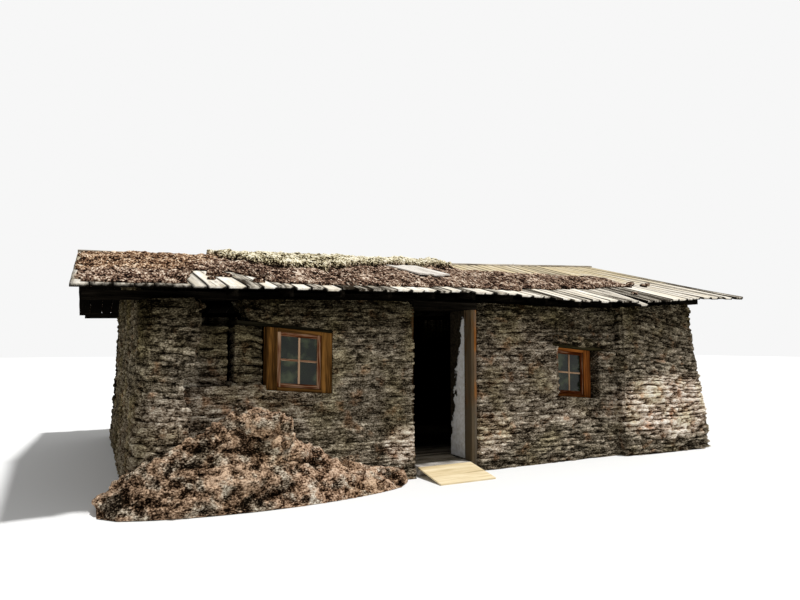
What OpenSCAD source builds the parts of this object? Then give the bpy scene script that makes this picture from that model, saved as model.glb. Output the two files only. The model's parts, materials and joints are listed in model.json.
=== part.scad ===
// Turf house: a prairie dwelling of laid-up sod with a low plank roof under turf.
// The front wall faces -Y, the length runs along X and the ground is at z = 0.

/* [House] */
// Length over the sod walls
house_l = 8400; // [8000:50:9000]
// Depth over the sod walls
house_d = 5600; // [5200:50:6200]
// Thickness of a sod wall at its top
wall_t = 600; // [540:10:660]
// How far a wall spreads outwards at its foot
foot_spread = 70; // [0:5:120]
// Depth of the slow swell and hollow along a wall face
face_swell = 14; // [0:1:20]
// How far the settled bands of sod stand in and out of a face
band_out = 17; // [0:1:25]
// Height from one settled band to the next
band_rise = 540; // [450:10:800]
// Length from one bulge of a band to the next
band_run = 1300; // [1000:10:2000]
// Height over which the top edge of a wall is worn back
worn_h = 110; // [60:5:160]
// Distance that the top edge is worn back
worn_in = 70; // [30:5:100]

/* [Corner masses] */
// Length of the west corner mass along the front
west_mass_l = 600; // [500:10:640]
// How far the west corner mass stands out of the front
west_mass_out = 120; // [60:5:160]
// Length of the east corner mass along the front
east_mass_l = 1820; // [1600:10:1860]
// How far the east corner mass stands out of the front
east_mass_out = 130; // [60:5:180]
// How far the foot of the east mass has slumped outwards
east_slump = 150; // [0:10:180]
// Height below which that slump is at its full
slump_full_z = 600; // [300:10:900]
// Height at which the slump begins
slump_top_z = 1950; // [1500:10:2000]
// Length of end wall that the slump draws out with it
slump_run = 900; // [500:10:1400]
// Plan radius of the worn corners
corner_r = 380; // [200:10:420]

/* [Fallen patch] */
// Height of the ledge where the outer sods fell away
ledge_z = 1180; // [1000:10:1300]
// Height of the foot of the open hole
hole_foot_z = 1825; // [1750:5:1840]
// Depth of the recess left in the front
recess_d = 230; // [150:10:300]
// Width of the crack between the two inner stacks
crack_w = 40; // [20:5:70]
// Width of the open hole above the west stack
hole_w = 370; // [280:10:420]
// How far the ledge stands out of the front
ledge_out = 20; // [0:5:60]
// Depth of the heap of fallen sod in front of the wall
heap_d = 560; // [300:10:700]
// Height at which the heap's two slopes meet, before its top is rounded
heap_h = 1020; // [400:10:1050]
// Drop of the rounded top below that height
heap_round = 60; // [20:5:100]
// Height of the heap's west end
heap_west_h = 120; // [100:10:400]
// Height of the heap's east end
heap_east_h = 170; // [60:10:300]
// Distance of the heap's top from the west end of the house
heap_top_x = 1150; // [900:10:1300]
// Distance of the heap's west end from the west end of the house, negative where it lies past it
heap_in = -340; // [-400:10:300]
// Distance between the heap and the doorway
heap_short = 200; // [100:10:400]
// Thickness of the heap's toe
heap_toe_t = 4; // [2:1:10]

/* [Roof] */
// Height of the deck underside at the eave, west end
eave_west_z = 2145; // [2100:5:2200]
// The same beside the door
eave_door_z = 2245; // [2200:5:2300]
// Place of the sag in the eave, from the east end of the house
sag_x = 2500; // [2300:10:2900]
// The same height at the sag
eave_sag_z = 2200; // [2150:5:2260]
// The same at the east tip
eave_east_z = 2355; // [2300:5:2420]
// Height of the deck underside at the ridge, west end
ridge_west_z = 2885; // [2800:5:2950]
// The same above the door
ridge_door_z = 2990; // [2900:5:3050]
// The same at the east end
ridge_east_z = 3235; // [3100:5:3300]
// Overhang of the eaves past the wall face
eave_over = 400; // [300:10:500]
// Overhang past the west end wall
west_over = 640; // [400:10:700]
// Overhang past the east end wall, measured at the eave
east_over = 840; // [600:10:900]
// How much shorter the roof is at the east end of the ridge
rake_skew = 340; // [0:10:400]
// Thickness of the roof planks
deck_t = 38; // [25:1:50]
// Vertical depth of a rafter
rafter_h = 140; // [120:5:160]
// Width of a rafter
rafter_w = 50; // [38:1:60]
// Number of rafter pairs
rafter_n = 12; // [9:1:14]
// Rafter depth left above the wall plate
heel_h = 110; // [90:5:115]
// Overhang of the rafter tails past the wall face
tail_over = 220; // [150:10:280]
// Vertical depth of a rafter tail
tail_h = 90; // [70:5:110]
// Width of the wall plates
plate_w = 190; // [140:10:240]
// Thickness of the wall plates
plate_t = 90; // [60:5:110]
// Width of the ridge beam
ridge_w = 100; // [80:5:140]
// Depth of the ridge beam
ridge_h = 190; // [150:5:230]
// How far the plates and the ridge beam stop short of the roof ends
plate_end = 100; // [50:10:200]
// Thickness of the turf on the roof, at the top of its mounds
turf_t = 95; // [40:5:120]
// Thickness of its ragged edge
turf_edge_t = 18; // [12:1:25]
// Share of that thickness left in the hollows between mounds
turf_hollow = 0.25; // [0.15:0.05:0.8]
// Distance from one row of mounds to the next but one
mound_run = 950; // [800:10:1300]
// Where the rust-brown turf ends, from the west end of the house
brown_turf_end = 2300; // [2000:10:2500]
// Where the mossy turf ends
moss_turf_end = 4860; // [4500:10:5200]
// Where the last patch of turf ends
patch_end = 7600; // [6800:10:8000]
// Strip of bare planks kept along the eave
bare_eave = 60; // [40:5:100]
// How far the rust-brown turf draws back from the eave at its east end
brown_back = 880; // [600:20:1000]
// Bare strip below the mossy turf
bare_moss = 430; // [200:10:600]
// Bare strip below the last patch, at its west end
patch_foot_west = 700; // [400:10:900]
// The same at its east end
patch_foot_east = 980; // [700:10:1200]
// Distance of the last patch from the ridge, at its west end
patch_top_west = 900; // [600:10:1100]
// The same at its east end
patch_top_east = 1350; // [1100:10:1500]
// Wander of the turf's lower edge
ragged = 40; // [10:5:70]
// Width of the board over the ridge
ridge_board_w = 150; // [100:5:200]
// Thickness of the board over the ridge
ridge_board_t = 20; // [12:1:30]

/* [Doorway] */
// Middle of the doorway, from the west end of the house
door_x = 3615; // [3500:5:3700]
// Width of the gap in the sod
door_gap_w = 950; // [880:10:1000]
// Width of a door post
post_w = 90; // [60:5:110]
// Depth of a door post
post_d = 170; // [120:5:190]
// Distance that the west post stands back from the face
post_back = 170; // [120:5:200]
// Thickness of the timber over the door
head_t = 90; // [60:5:120]
// Thickness of the lime plaster in the reveal
plaster_t = 36; // [15:1:50]
// Distance of the door sill behind the face
sill_back = 10; // [0:5:40]
// Depth of the door sill
sill_d = 190; // [150:5:220]
// Length of the step board
step_l = 540; // [400:10:650]
// Width of the step board
step_w = 780; // [600:10:900]
// How far the step board lies west of the middle of the doorway
step_shift = 20; // [0:5:60]
// Thickness of the step board
step_t = 20; // [12:1:30]

/* [Windows] */
// Width over a window frame
frame_w = 775; // [700:5:820]
// Height over a window frame
frame_h = 700; // [650:5:740]
// Depth of a window frame
frame_d = 120; // [80:5:150]
// Width of a sash
sash_w = 520; // [480:5:560]
// Height of a sash
sash_h = 620; // [580:5:640]
// Thickness of a sash
sash_t = 38; // [28:1:45]
// Distance of a sash behind the front of its frame
sash_in = 25; // [15:1:32]
// Width of a sash rail
rail_w = 45; // [35:1:60]
// Width of the bars between the panes
bar_w = 24; // [16:1:34]
// Thickness of the glass
glass_t = 4; // [3:1:6]
// Slope of the racked heads and sills, in degrees
rack = 5; // [0:0.5:6]
// Middle of the west window, from the west end of the house
west_win_x = 1682; // [1640:2:1720]
// Middle of the west window above the ground
west_win_z = 1440; // [1400:5:1480]
// Distance of the west frame behind the face
west_win_back = 20; // [0:5:60]
// Middle of the east window, from the east end of the house
east_win_x = 2540; // [2500:5:2600]
// Middle of the east window above the ground
east_win_z = 1215; // [1180:5:1250]
// Distance of the east frame behind the face
east_win_back = 160; // [60:10:220]
// Thickness of the lintel boards
lintel_t = 38; // [25:1:50]
// Distance of the west lintel behind the face
lintel_back = 40; // [20:5:80]
// Thickness of the board along the front of the east lintel
lintel_front_t = 30; // [20:1:40]
// Reach of the east lintel past its opening
lintel_reach = 150; // [80:10:180]

/* [Floor] */
// Height of the floor sleepers
sleeper_h = 90; // [70:5:120]
// Width of a sleeper
sleeper_w = 90; // [60:5:120]
// Number of sleepers, an odd number with one in the middle
sleeper_n = 7; // [5:2:9]
// Distance of the outer sleepers from the walls
sleeper_in = 200; // [150:10:300]
// Gap left between the sleepers' ends and the walls
sleeper_gap = 20; // [10:1:40]
// Thickness of the floor boards
floor_t = 25; // [18:1:32]
// Gap left between the floor boards and the walls
floor_gap = 10; // [5:1:20]

/* [Hidden] */

// Clearance between pieces that rest on each other
seat = 0.3;
half_l = house_l / 2;
door_mid = door_x - half_l;
west_win_mid = west_win_x - half_l;
east_win_mid = half_l - east_win_x;
sag_mid = half_l - sag_x;
half_d = house_d / 2;
in_x = half_l - wall_t;
in_y = half_d - wall_t;

function mix(a, b, t) = a + (b - a) * t;
function ease(t) = t * t * (3 - 2 * t);
function steps(a, b, n) = [for (i = [0:n]) mix(a, b, i / n)];

// Roof surface: heights of the deck underside
roof_w = -half_l - west_over;
roof_e = half_l + east_over;
eave_y = half_d + eave_over;
function eave_z(x) =
  x < door_mid ? mix(eave_west_z, eave_door_z, (x - roof_w) / (door_mid - roof_w))
  : x < sag_mid ? mix(eave_door_z, eave_sag_z, ease((x - door_mid) / (sag_mid - door_mid)))
  : mix(eave_sag_z, eave_east_z, ease((x - sag_mid) / (roof_e - sag_mid)));
function ridge_z(x) =
  x < door_mid ? mix(ridge_west_z, ridge_door_z, (x - roof_w) / (door_mid - roof_w))
  : mix(ridge_door_z, ridge_east_z, (x - door_mid) / (roof_e - rake_skew - door_mid));
function pitch(x) = (ridge_z(x) - eave_z(x)) / eave_y;
function deck_z(x, y) = ridge_z(x) - pitch(x) * abs(y);

// Stations along the roof: both edges of each rafter, the lines of the end walls,
// and one more in the middle of each wide space between them
function rafter_x(i) = mix(-in_x + wall_t / 2, in_x - wall_t / 2, i / (rafter_n - 1));
wide_space = 400;
function with_middles(xs) = [for (i = [0:len(xs) - 1])
  each i > 0 && xs[i] - xs[i - 1] > wide_space ? [(xs[i] + xs[i - 1]) / 2, xs[i]] : [xs[i]]];
rafter_edges = [for (i = [0:rafter_n - 1], side = [-1, 1]) rafter_x(i) + side * rafter_w / 2];
between_ends = with_middles(concat([-half_l, -in_x], rafter_edges, [in_x, half_l]));
roof_x = with_middles(concat([roof_w], between_ends, [roof_e]));
deck_rows = 4;

// Wall plate and wall top follow the roof
plate_y = half_d - wall_t / 2;
plate_out = plate_y + plate_w / 2;
plate_in = plate_y - plate_w / 2;
function plate_z(x) = deck_z(x, plate_out) - heel_h;
function wall_z(x) = plate_z(x) - plate_t - seat;

// Openings in the front wall
door_w_x = door_mid - door_gap_w / 2;
door_e_x = door_mid + door_gap_w / 2;
floor_z = sleeper_h + floor_t;
win_gap = frame_w / 2 + seat;
west_win_l = west_win_mid - win_gap;
west_win_r = west_win_mid + win_gap;
east_win_l = east_win_mid - win_gap;
east_win_r = east_win_mid + win_gap;
west_mass_r = -half_l + west_mass_l;
east_mass_l_x = half_l - east_mass_l;
hole_r = west_mass_r + hole_w;
stack_split = hole_r - crack_w;
function racked(x, middle_x, z) = z - (x - middle_x) * tan(rack);
function west_head(x) = racked(x, west_win_mid, west_win_z + frame_h / 2 + seat);
function west_foot(x) = racked(x, west_win_mid, west_win_z - frame_h / 2 - seat);
function east_head(x) = racked(x, east_win_mid, east_win_z + frame_h / 2 + seat);
function east_foot(x) = racked(x, east_win_mid, east_win_z - frame_h / 2 - seat);

// Ways to close the end of a ring of n points: as one flat face, in strips where the ring
// runs out along one side and back along the other, or as two fans from its last two points
flat_end = function(n) [[for (j = [0:n - 1]) j]];
strip_end = function(n) [for (j = [0:n / 2 - 2]) let (u = n - 1 - j)
  each [[j, j + 1, u], [j + 1, u - 1, u]]];
fan_end = function(n) let (middle = floor(n / 2) - 1)
  concat([for (j = [0:n - 4]) [j, j + 1, j < middle ? n - 1 : n - 2]],
    [[middle, n - 2, n - 1]]);

// Solid through a row of rings, each with the same number of points
function backwards(list) = [for (k = [len(list) - 1:-1:0]) list[k]];
module loft(rings, turned = false, end_faces = flat_end) {
  n = len(rings[0]);
  m = len(rings);
  points = [for (ring = rings) each ring];
  sides = [for (i = [0:m - 2], j = [0:n - 1])
    let (a = i * n + j, b = i * n + (j + 1) % n)
    each [[a, b, b + n], [a, b + n, a + n]]];
  first = [for (f = end_faces(n)) backwards(f)];
  last = [for (f = end_faces(n)) [for (j = f) (m - 1) * n + j]];
  faces = concat(sides, first, last);
  polyhedron(points, turned ? faces : [for (f = faces) backwards(f)]);
}

// Places on the walls: along the wall, outwards from the middle, and height
on_front = function(s, out, z) [s, -out, z];
on_west = function(s, out, z) [-out, s, z];
on_east = function(s, out, z) [out, s, z];

// Outward position of a sod face, spreading at the foot and swelling along the wall,
// with settled bands that stand in and out
spread_top_z = wall_z(door_mid);
function spread(z) = foot_spread * pow(max(0, 1 - z / spread_top_z), 2);
function swell(s, z) = face_swell * sin(s * 0.11 + z * 0.07) * sin(z * 0.09);
function bands(s, z) = band_out
  * sin(360 * z / band_rise + 75 * sin(360 * s / band_run))
  * cos(360 * s / band_run + 75 * sin(180 * z / band_rise));
function relief(s, z) = spread(z) + swell(s, z) + bands(s, z);
function sod_face(out, s, z) = out(s, z) + relief(s, z);
face_proud = face_swell + band_out;

// Ring of a wall: up the outer face, in over the worn top, down the inner face,
// which has as many rows as the outer one where the ring is a bent one
row_h = 150;
function sod_ring(place, s, z0, z1, out, inner, worn, rows, bent) =
  let (outer = concat(
    [for (i = [0:rows])
      let (z = mix(z0, z1 - worn * worn_h, i / rows))
      place(s, sod_face(out, s, z), z)],
    worn > 0 ? [place(s, sod_face(out, s, z1) - worn * worn_in, z1)] : []
  ))
  concat(outer, [for (z = backwards(steps(z0, z1, bent ? len(outer) - 1 : 1))) place(s, inner, z)]);

module sod_run(place, turned, stations, foot, top, out, inner, worn = 1, bent = false) {
  tallest = max([for (s = stations) top(s) - foot(s)]);
  rows = ceil(tallest / row_h);
  loft([for (s = stations)
    sod_ring(place, s, foot(s), top(s), out, inner, worn, rows, bent)],
    turned, bent ? strip_end : fan_end);
}

ground = function(s) 0;
wall_top = function(s) wall_z(s);

// Front bays between two places along the wall
bay_step = 290;
function bay(a, b) = steps(a, b, max(2, ceil((b - a) / bay_step)));
module front_bay(a, b, foot = ground, top = wall_top, proud = 0, back = 0, worn = 1) {
  sod_run(on_front, false, bay(a, b), foot, top, function(s, z) half_d + proud - back,
    in_y, worn);
}

// Slump of the east mass: full near the ground, none above the height where it begins
function share(x, a, b) = ease(min(1, max(0, (x - a) / (b - a))));
function slump(z) = east_slump * share(z, slump_top_z, slump_full_z);

// Corners stand out along the house too, from not at all to as far as the end wall beside them
function at_corner(s) = max(0, abs(s) - half_l + corner_r) / corner_r * sign(s);
corner_front = function(s, out, z)
  [s + at_corner(s) * (relief(-in_y, z) + (s > 0 ? slump(z) : 0)), -out, z];
corner_back = function(s, out, z) [s + at_corner(s) * relief(in_y, z), out, z];

// Worn plan corner: how far the face draws in near an end of a wall
function corner_in(s, end, r) =
  let (d = min(r, abs(end - s)))
  r - sqrt(max(0, r * r - (r - d) * (r - d)));
corner_steps = 6;
function corner_stations(end, inward, r) =
  [for (i = [0:corner_steps]) end + inward * r * (1 - cos(90 * i / corner_steps))];

earth = "#6f6455";
earth_pale = "#84776a";
timber = "#8b857b";
brown_wood = "#8a5530";

module west_corner_mass() {
  stations = concat(corner_stations(-half_l, 1, corner_r), [west_mass_r]);
  color(earth_pale)
  sod_run(corner_front, false, stations, ground, wall_top,
    function(s, z) half_d + west_mass_out - corner_in(s, -half_l, corner_r), in_y,
    bent = true);
}

module wall_below_recess() {
  color(earth)
  front_bay(west_mass_r, west_win_l, top = function(s) ledge_z, proud = ledge_out);
}

module recess_stacks() {
  stack_foot = function(s) ledge_z + seat;
  low_top = function(s) hole_foot_z;
  // Share of a wall top's wear on the lower stack
  low_worn = 0.3;
  color(earth_pale) {
    front_bay(west_mass_r, stack_split, foot = stack_foot, top = low_top,
      back = recess_d, worn = low_worn);
    front_bay(hole_r, west_win_l, foot = stack_foot, top = function(s) west_head(s) - seat,
      back = recess_d, worn = 0);
  }
}

module wall_below_west_window() {
  color(earth)
  front_bay(west_win_l, west_win_r, top = function(s) west_foot(s), worn = 0);
}

module wall_over_west_window() {
  color(earth)
  front_bay(hole_r, west_win_r, foot = function(s) west_head(s) + lintel_t + seat);
}

module wall_window_to_door() {
  color(earth)
  front_bay(west_win_r, door_w_x);
}

module wall_door_to_window() {
  color(earth)
  front_bay(door_e_x, east_win_l);
}

module wall_below_east_window() {
  color(earth)
  front_bay(east_win_l, east_win_r, top = function(s) east_foot(s), worn = 0);
}

module wall_over_east_window() {
  color(earth)
  front_bay(east_win_l, east_win_r, foot = function(s) east_head(s) + lintel_t + seat);
}

module wall_beside_east_window() {
  color(earth)
  front_bay(east_win_r, east_mass_l_x);
}

module east_corner_mass() {
  corner = corner_stations(half_l, -1, corner_r);
  stations = concat(bay(east_mass_l_x, half_l - corner_r),
    [for (i = [1:corner_steps]) corner[corner_steps - i]]);
  // The front of the mass takes part of the slump
  front_share = 0.4;
  color(earth_pale)
  sod_run(corner_front, false, stations, ground, wall_top,
    function(s, z) half_d + east_mass_out - corner_in(s, half_l, corner_r)
      + front_share * slump(z) * share(s, east_mass_l_x, east_mass_l_x + slump_run), in_y,
    bent = true);
}

// End walls stop level with the lower of the wall tops at their corner masses
west_top_z = wall_z(-half_l);
east_top_z = wall_z(in_x);

end_cols = 16;

module west_end_wall() {
  color(earth)
  sod_run(on_west, true, steps(-in_y, in_y, end_cols), ground, function(s) west_top_z,
    function(s, z) half_l, in_x, 0);
}

module east_end_wall() {
  color(earth)
  sod_run(on_east, false, steps(-in_y, in_y, end_cols), ground, function(s) east_top_z,
    function(s, z) half_l + slump(z) * share(s, -in_y + slump_run, -in_y), in_x, 0);
}

module back_wall() {
  west = corner_stations(-half_l, 1, corner_r);
  east = corner_stations(half_l, -1, corner_r);
  middle = bay(-half_l + corner_r, half_l - corner_r);
  stations = concat([for (i = [0:corner_steps - 1]) west[i]], middle,
    [for (i = [1:corner_steps]) east[corner_steps - i]]);
  color(earth)
  sod_run(corner_back, true, stations, ground, wall_top,
    function(s, z) half_d - corner_in(s, -half_l, corner_r) - corner_in(s, half_l, corner_r), in_y);
}

// Gable ring across the end wall, cut down where the ridge beam lies on it
function beam_foot_z(x) = ridge_z(x) - pitch(x) * ridge_w / 2 - seat - ridge_h;
function gable_top(x, y) =
  abs(y) <= ridge_w / 2 + seat ? beam_foot_z(x) - seat : deck_z(x, y) - seat;
module gable(place, turned, side, foot_z) {
  notch = ridge_w / 2 + seat;
  rows = steps(in_y, notch + 1, 4);
  ys = concat([for (y = rows) -y], [-notch, notch], [for (i = [4:-1:0]) rows[i]]);
  loft([for (y = ys) [
    place(y, half_l, foot_z + seat),
    place(y, half_l, gable_top(side * half_l, y)),
    place(y, in_x, gable_top(side * in_x, y)),
    place(y, in_x, foot_z + seat)
  ]], turned);
}

module west_gable() {
  color(earth)
  gable(on_west, true, -1, west_top_z);
}

module east_gable() {
  color(earth)
  gable(on_east, false, 1, east_top_z);
}

// Timber along the house whose section follows the roof
plate_x = concat([roof_w + plate_end], between_ends, [roof_e - rake_skew - plate_end]);
module wall_plate(side) {
  loft([for (x = plate_x) [
    [x, side * plate_in, plate_z(x) - plate_t],
    [x, side * plate_out, plate_z(x) - plate_t],
    [x, side * plate_out, plate_z(x)],
    [x, side * plate_in, plate_z(x)]
  ]], side > 0);
}

module front_wall_plate() {
  color(timber)
  wall_plate(-1);
}

module back_wall_plate() {
  color(timber)
  wall_plate(1);
}

module ridge_beam() {
  half = ridge_w / 2;
  color(timber)
  loft([for (x = plate_x) [
    [x, -half, beam_foot_z(x)],
    [x, half, beam_foot_z(x)],
    [x, half, deck_z(x, half) - seat],
    [x, 0, ridge_z(x) - seat],
    [x, -half, deck_z(x, half) - seat]
  ]], true);
}

// Rafter from the ridge beam over the plate to its tail under the eave
tail_y = half_d + tail_over;
function rafter_ring(x, side) =
  let (
    ridge_side = ridge_w / 2 + seat,
    seat_z = plate_z(x) + seat,
    heel_y = plate_out - (rafter_h - heel_h - seat) / pitch(x)
  )
  [
    [x, side * ridge_side, deck_z(x, ridge_side) - seat],
    [x, side * ridge_side, deck_z(x, ridge_side) - rafter_h],
    [x, side * heel_y, seat_z],
    [x, side * (plate_out + seat), seat_z],
    [x, side * (plate_out + seat), deck_z(x, plate_out) - rafter_h],
    [x, side * tail_y, deck_z(x, tail_y) - tail_h],
    [x, side * tail_y, deck_z(x, tail_y) - seat]
  ];

module rafters() {
  color(timber)
  for (i = [0:rafter_n - 1], side = [-1, 1]) {
    x = rafter_x(i);
    loft([rafter_ring(x - rafter_w / 2, side), rafter_ring(x + rafter_w / 2, side)], side > 0);
  }
}

// Place of a roof row: rows run from the ridge to the eave
function row_x(x, y) = x < roof_e ? x : roof_e - rake_skew * (1 - abs(y) / eave_y);
module deck(side) {
  ys = steps(1, eave_y, deck_rows);
  loft([for (x = roof_x) concat(
    [for (y = ys) let (rx = row_x(x, y)) [rx, side * y, deck_z(rx, y)]],
    [for (i = [deck_rows:-1:0])
      let (y = ys[i], rx = row_x(x, y)) [rx, side * y, deck_z(rx, y) + deck_t]]
  )], side > 0, strip_end);
}

module front_roof_deck() {
  color("#b5afa4")
  deck(-1);
}

module back_roof_deck() {
  color("#b5afa4")
  deck(1);
}

// Board laid flat over the joint of the two slopes
module ridge_board() {
  half = ridge_board_w / 2;
  color("#cfc9bc")
  loft([for (x = [for (rx = roof_x) row_x(rx, 0)]) let (z = ridge_z(x) + deck_t + seat) [
    [x, -half, z - pitch(x) * half],
    [x, 0, z],
    [x, half, z - pitch(x) * half],
    [x, half, z - pitch(x) * half + ridge_board_t],
    [x, 0, z + ridge_board_t],
    [x, -half, z - pitch(x) * half + ridge_board_t]
  ]]);
}

// Turf lying on the deck between an upper and a lower ragged edge, in mounds and hollows
turf_seat = 0.8;
turf_cols = 11;
function wave(a, b) = sin(360 * a / mound_run + 70 * sin(210 * b / mound_run));
function mound(x, y) = mix(turf_hollow, 1, 0.5 + 0.5 * wave(x, y) * wave(y, x));
function turf_h(x, y, u) = turf_edge_t + (turf_t - turf_edge_t) * sqrt(sin(180 * u)) * mound(x, y);
function turf_ring(x, side, upper, lower, end) =
  let (ys = steps(upper(x), lower(x), turf_cols))
  concat(
    [for (y = ys) [x, side * y, deck_z(x, y) + deck_t + turf_seat]],
    [for (i = [turf_cols:-1:0]) let (y = ys[i])
      [x, side * y, deck_z(x, y) + deck_t + turf_seat
        + (end ? turf_edge_t : turf_h(x, y, i / turf_cols))]]
  );
module turf(stations, side, upper, lower) {
  last = len(stations) - 1;
  loft([for (i = [0:last]) turf_ring(stations[i], side, upper, lower, i == 0 || i == last)],
    side > 0, strip_end);
}
turf_joint = 30;
function roof_part(a, b) =
  concat([a], [for (x = between_ends) if (x > a + turf_joint && x < b - turf_joint) x], [b]);
turf_top = function(x) ridge_board_w / 2 + turf_joint;
brown_end_x = brown_turf_end - half_l;
moss_end_x = moss_turf_end - half_l;
patch_end_x = patch_end - half_l;

module roof_turf_west() {
  color("#8a6144")
  turf(roof_part(roof_w + bare_eave, brown_end_x), -1, turf_top,
    function(x) eave_y - bare_eave - ragged * sin(x * 0.4)
      - brown_back * share(x, west_mass_r, brown_end_x));
}

module roof_turf_middle() {
  color("#8d8156")
  turf(roof_part(brown_end_x + turf_joint, moss_end_x), -1, turf_top,
    function(x) eave_y - bare_moss - ragged * sin(x * 0.45 + 20));
}

module roof_turf_east() {
  color("#7d5a45")
  turf(roof_part(moss_end_x + turf_joint, patch_end_x), -1,
    function(x) mix(patch_top_west, patch_top_east, share(x, moss_end_x, patch_end_x)),
    function(x) eave_y - ragged * sin(x * 0.4)
      - mix(patch_foot_west, patch_foot_east, share(x, moss_end_x, patch_end_x)));
}

module back_roof_turf() {
  color("#8a6144")
  turf(roof_part(roof_w + bare_eave, half_l + turf_joint * 3), 1, turf_top,
    function(x) eave_y - bare_eave * 2 - ragged * sin(x * 0.4));
}

// Doorway
clear_w_x = door_w_x + post_w;
clear_e_x = door_e_x - post_w;
head_foot_z = wall_z(door_w_x) - seat - head_t;
sill_front = -half_d + sill_back;
sill_inner = sill_front + sill_d;
plaster_gap = 3;

module upright(x0, x1, y0, y1, z0, z1) {
  translate([x0, y0, z0]) cube([x1 - x0, y1 - y0, z1 - z0]);
}

module door_post_west() {
  color(brown_wood)
  upright(door_w_x + seat, clear_w_x, -half_d + post_back, -half_d + post_back + post_d,
    0, head_foot_z - seat);
}

module door_post_east() {
  color(brown_wood)
  upright(clear_e_x, door_e_x - seat, -half_d, -half_d + post_d, 0, head_foot_z - seat);
}

module door_head() {
  color(brown_wood)
  upright(door_w_x + seat, door_e_x - seat, -half_d, -in_y - seat, head_foot_z,
    head_foot_z + head_t);
}

module door_sill() {
  color(timber)
  upright(clear_w_x + seat, clear_e_x - seat, sill_front, sill_inner, 0, floor_z);
}

module door_reveal_plaster() {
  color("#d8d5cc") {
    upright(door_e_x - plaster_t, door_e_x - seat, -half_d + post_d + plaster_gap,
      -in_y - seat, floor_z + seat, head_foot_z - seat);
    upright(door_w_x + seat, door_w_x + plaster_t, -half_d + post_back + post_d + plaster_gap,
      -in_y - seat, floor_z + seat, head_foot_z - seat);
  }
}

module door_step_board() {
  drop = floor_z - step_t;
  lean = atan(drop / step_l);
  color("#b39b78")
  translate([door_mid - step_shift, sill_front - seat, 0])
  rotate([90, 0, -90])
  linear_extrude(height = step_w, center = true)
  polygon([[0, floor_z - step_t], [0, floor_z], [step_l, step_t * cos(lean)], [step_l, 0]]);
}

// Windows: outlines racked so that the sides stay upright and the head and sill slope
module racked_frame(x, z, w, h, y0, depth, open_w, open_h) {
  fall = tan(rack);
  translate([x, y0 + depth, z])
  rotate([90, 0, 0])
  linear_extrude(height = depth)
  difference() {
    racked_outline(w, h, fall);
    racked_outline(open_w, open_h, fall);
  }
}
module racked_outline(w, h, fall) {
  polygon([
    [-w / 2, -h / 2 + fall * w / 2],
    [w / 2, -h / 2 - fall * w / 2],
    [w / 2, h / 2 - fall * w / 2],
    [-w / 2, h / 2 + fall * w / 2]
  ]);
}
pane_w = (sash_w - 2 * rail_w - bar_w) / 2;
pane_h = (sash_h - 2 * rail_w - bar_w) / 2;
module racked_sash(x, z, y0) {
  fall = tan(rack);
  translate([x, y0 + sash_t, z])
  rotate([90, 0, 0])
  linear_extrude(height = sash_t)
  difference() {
    racked_outline(sash_w, sash_h, fall);
    for (i = [-1, 1], j = [-1, 1]) {
      px = i * (pane_w + bar_w) / 2;
      translate([px, j * (pane_h + bar_w) / 2 - fall * px])
      racked_outline(pane_w, pane_h, fall);
    }
  }
}
module racked_panes(x, z, y0) {
  fall = tan(rack);
  for (i = [-1, 1], j = [-1, 1]) {
    px = i * (pane_w + bar_w) / 2;
    translate([x + px, y0 + glass_t, z + j * (pane_h + bar_w) / 2 - fall * px])
    rotate([90, 0, 0])
    linear_extrude(height = glass_t)
    racked_outline(pane_w - 2 * seat, pane_h - 2 * seat, fall);
  }
}

west_frame_y = -half_d + west_win_back;
east_frame_y = -half_d + east_win_back;
glass_in = (sash_t - glass_t) / 2;

module west_window_frame() {
  color(brown_wood)
  racked_frame(west_win_mid, west_win_z, frame_w, frame_h, west_frame_y, frame_d,
    sash_w + 2 * seat, sash_h + 2 * seat);
}

module west_window_sash() {
  color(brown_wood)
  racked_sash(west_win_mid, west_win_z, west_frame_y + sash_in);
}

module west_window_glass() {
  color("#5d675f")
  racked_panes(west_win_mid, west_win_z, west_frame_y + sash_in + glass_in);
}

module west_window_lintel() {
  color(timber)
  sloped_board(hole_r + seat, west_win_r - seat, -half_d + lintel_back, -in_y - seat,
    function(x) west_head(x), lintel_t);
}

// Board across an opening, laid on a sloping head
module sloped_board(x0, x1, y0, y1, foot, t) {
  translate([0, y1, 0])
  rotate([90, 0, 0])
  linear_extrude(height = y1 - y0)
  polygon([[x0, foot(x0)], [x1, foot(x1)], [x1, foot(x1) + t], [x0, foot(x0) + t]]);
}

module east_window_frame() {
  color(brown_wood)
  racked_frame(east_win_mid, east_win_z, frame_w, frame_h, east_frame_y, frame_d,
    sash_w + 2 * seat, sash_h + 2 * seat);
}

module east_window_sash() {
  color(brown_wood)
  racked_sash(east_win_mid, east_win_z, east_frame_y + sash_in);
}

module east_window_glass() {
  color("#5d675f")
  racked_panes(east_win_mid, east_win_z, east_frame_y + sash_in + glass_in);
}

module east_window_lintel() {
  front_y = -half_d - face_proud - foot_spread / 2;
  color("#7f8170")
  union() {
    sloped_board(east_win_l + seat, east_win_r - seat, front_y, -in_y - seat,
      function(x) east_head(x), lintel_t);
    sloped_board(east_win_l - lintel_reach, east_win_r + lintel_reach,
      front_y - lintel_front_t, front_y, function(x) east_head(x), lintel_t);
  }
}

module floor_boards() {
  floor_x = in_x - floor_gap;
  floor_y = in_y - floor_gap;
  color("#8f8a80")
  translate([0, 0, sleeper_h])
  linear_extrude(height = floor_t)
  polygon([
    [-floor_x, -floor_y], [clear_w_x + seat, -floor_y],
    [clear_w_x + seat, sill_inner + seat], [clear_e_x - seat, sill_inner + seat],
    [clear_e_x - seat, -floor_y], [floor_x, -floor_y],
    [floor_x, floor_y], [-floor_x, floor_y]
  ]);
}

// Sleepers across the room, and a short one under the boards in the doorway
module sleeper(x0, x1, y) {
  translate([x0, y - sleeper_w / 2, 0]) cube([x1 - x0, sleeper_w, sleeper_h - seat]);
}

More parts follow.
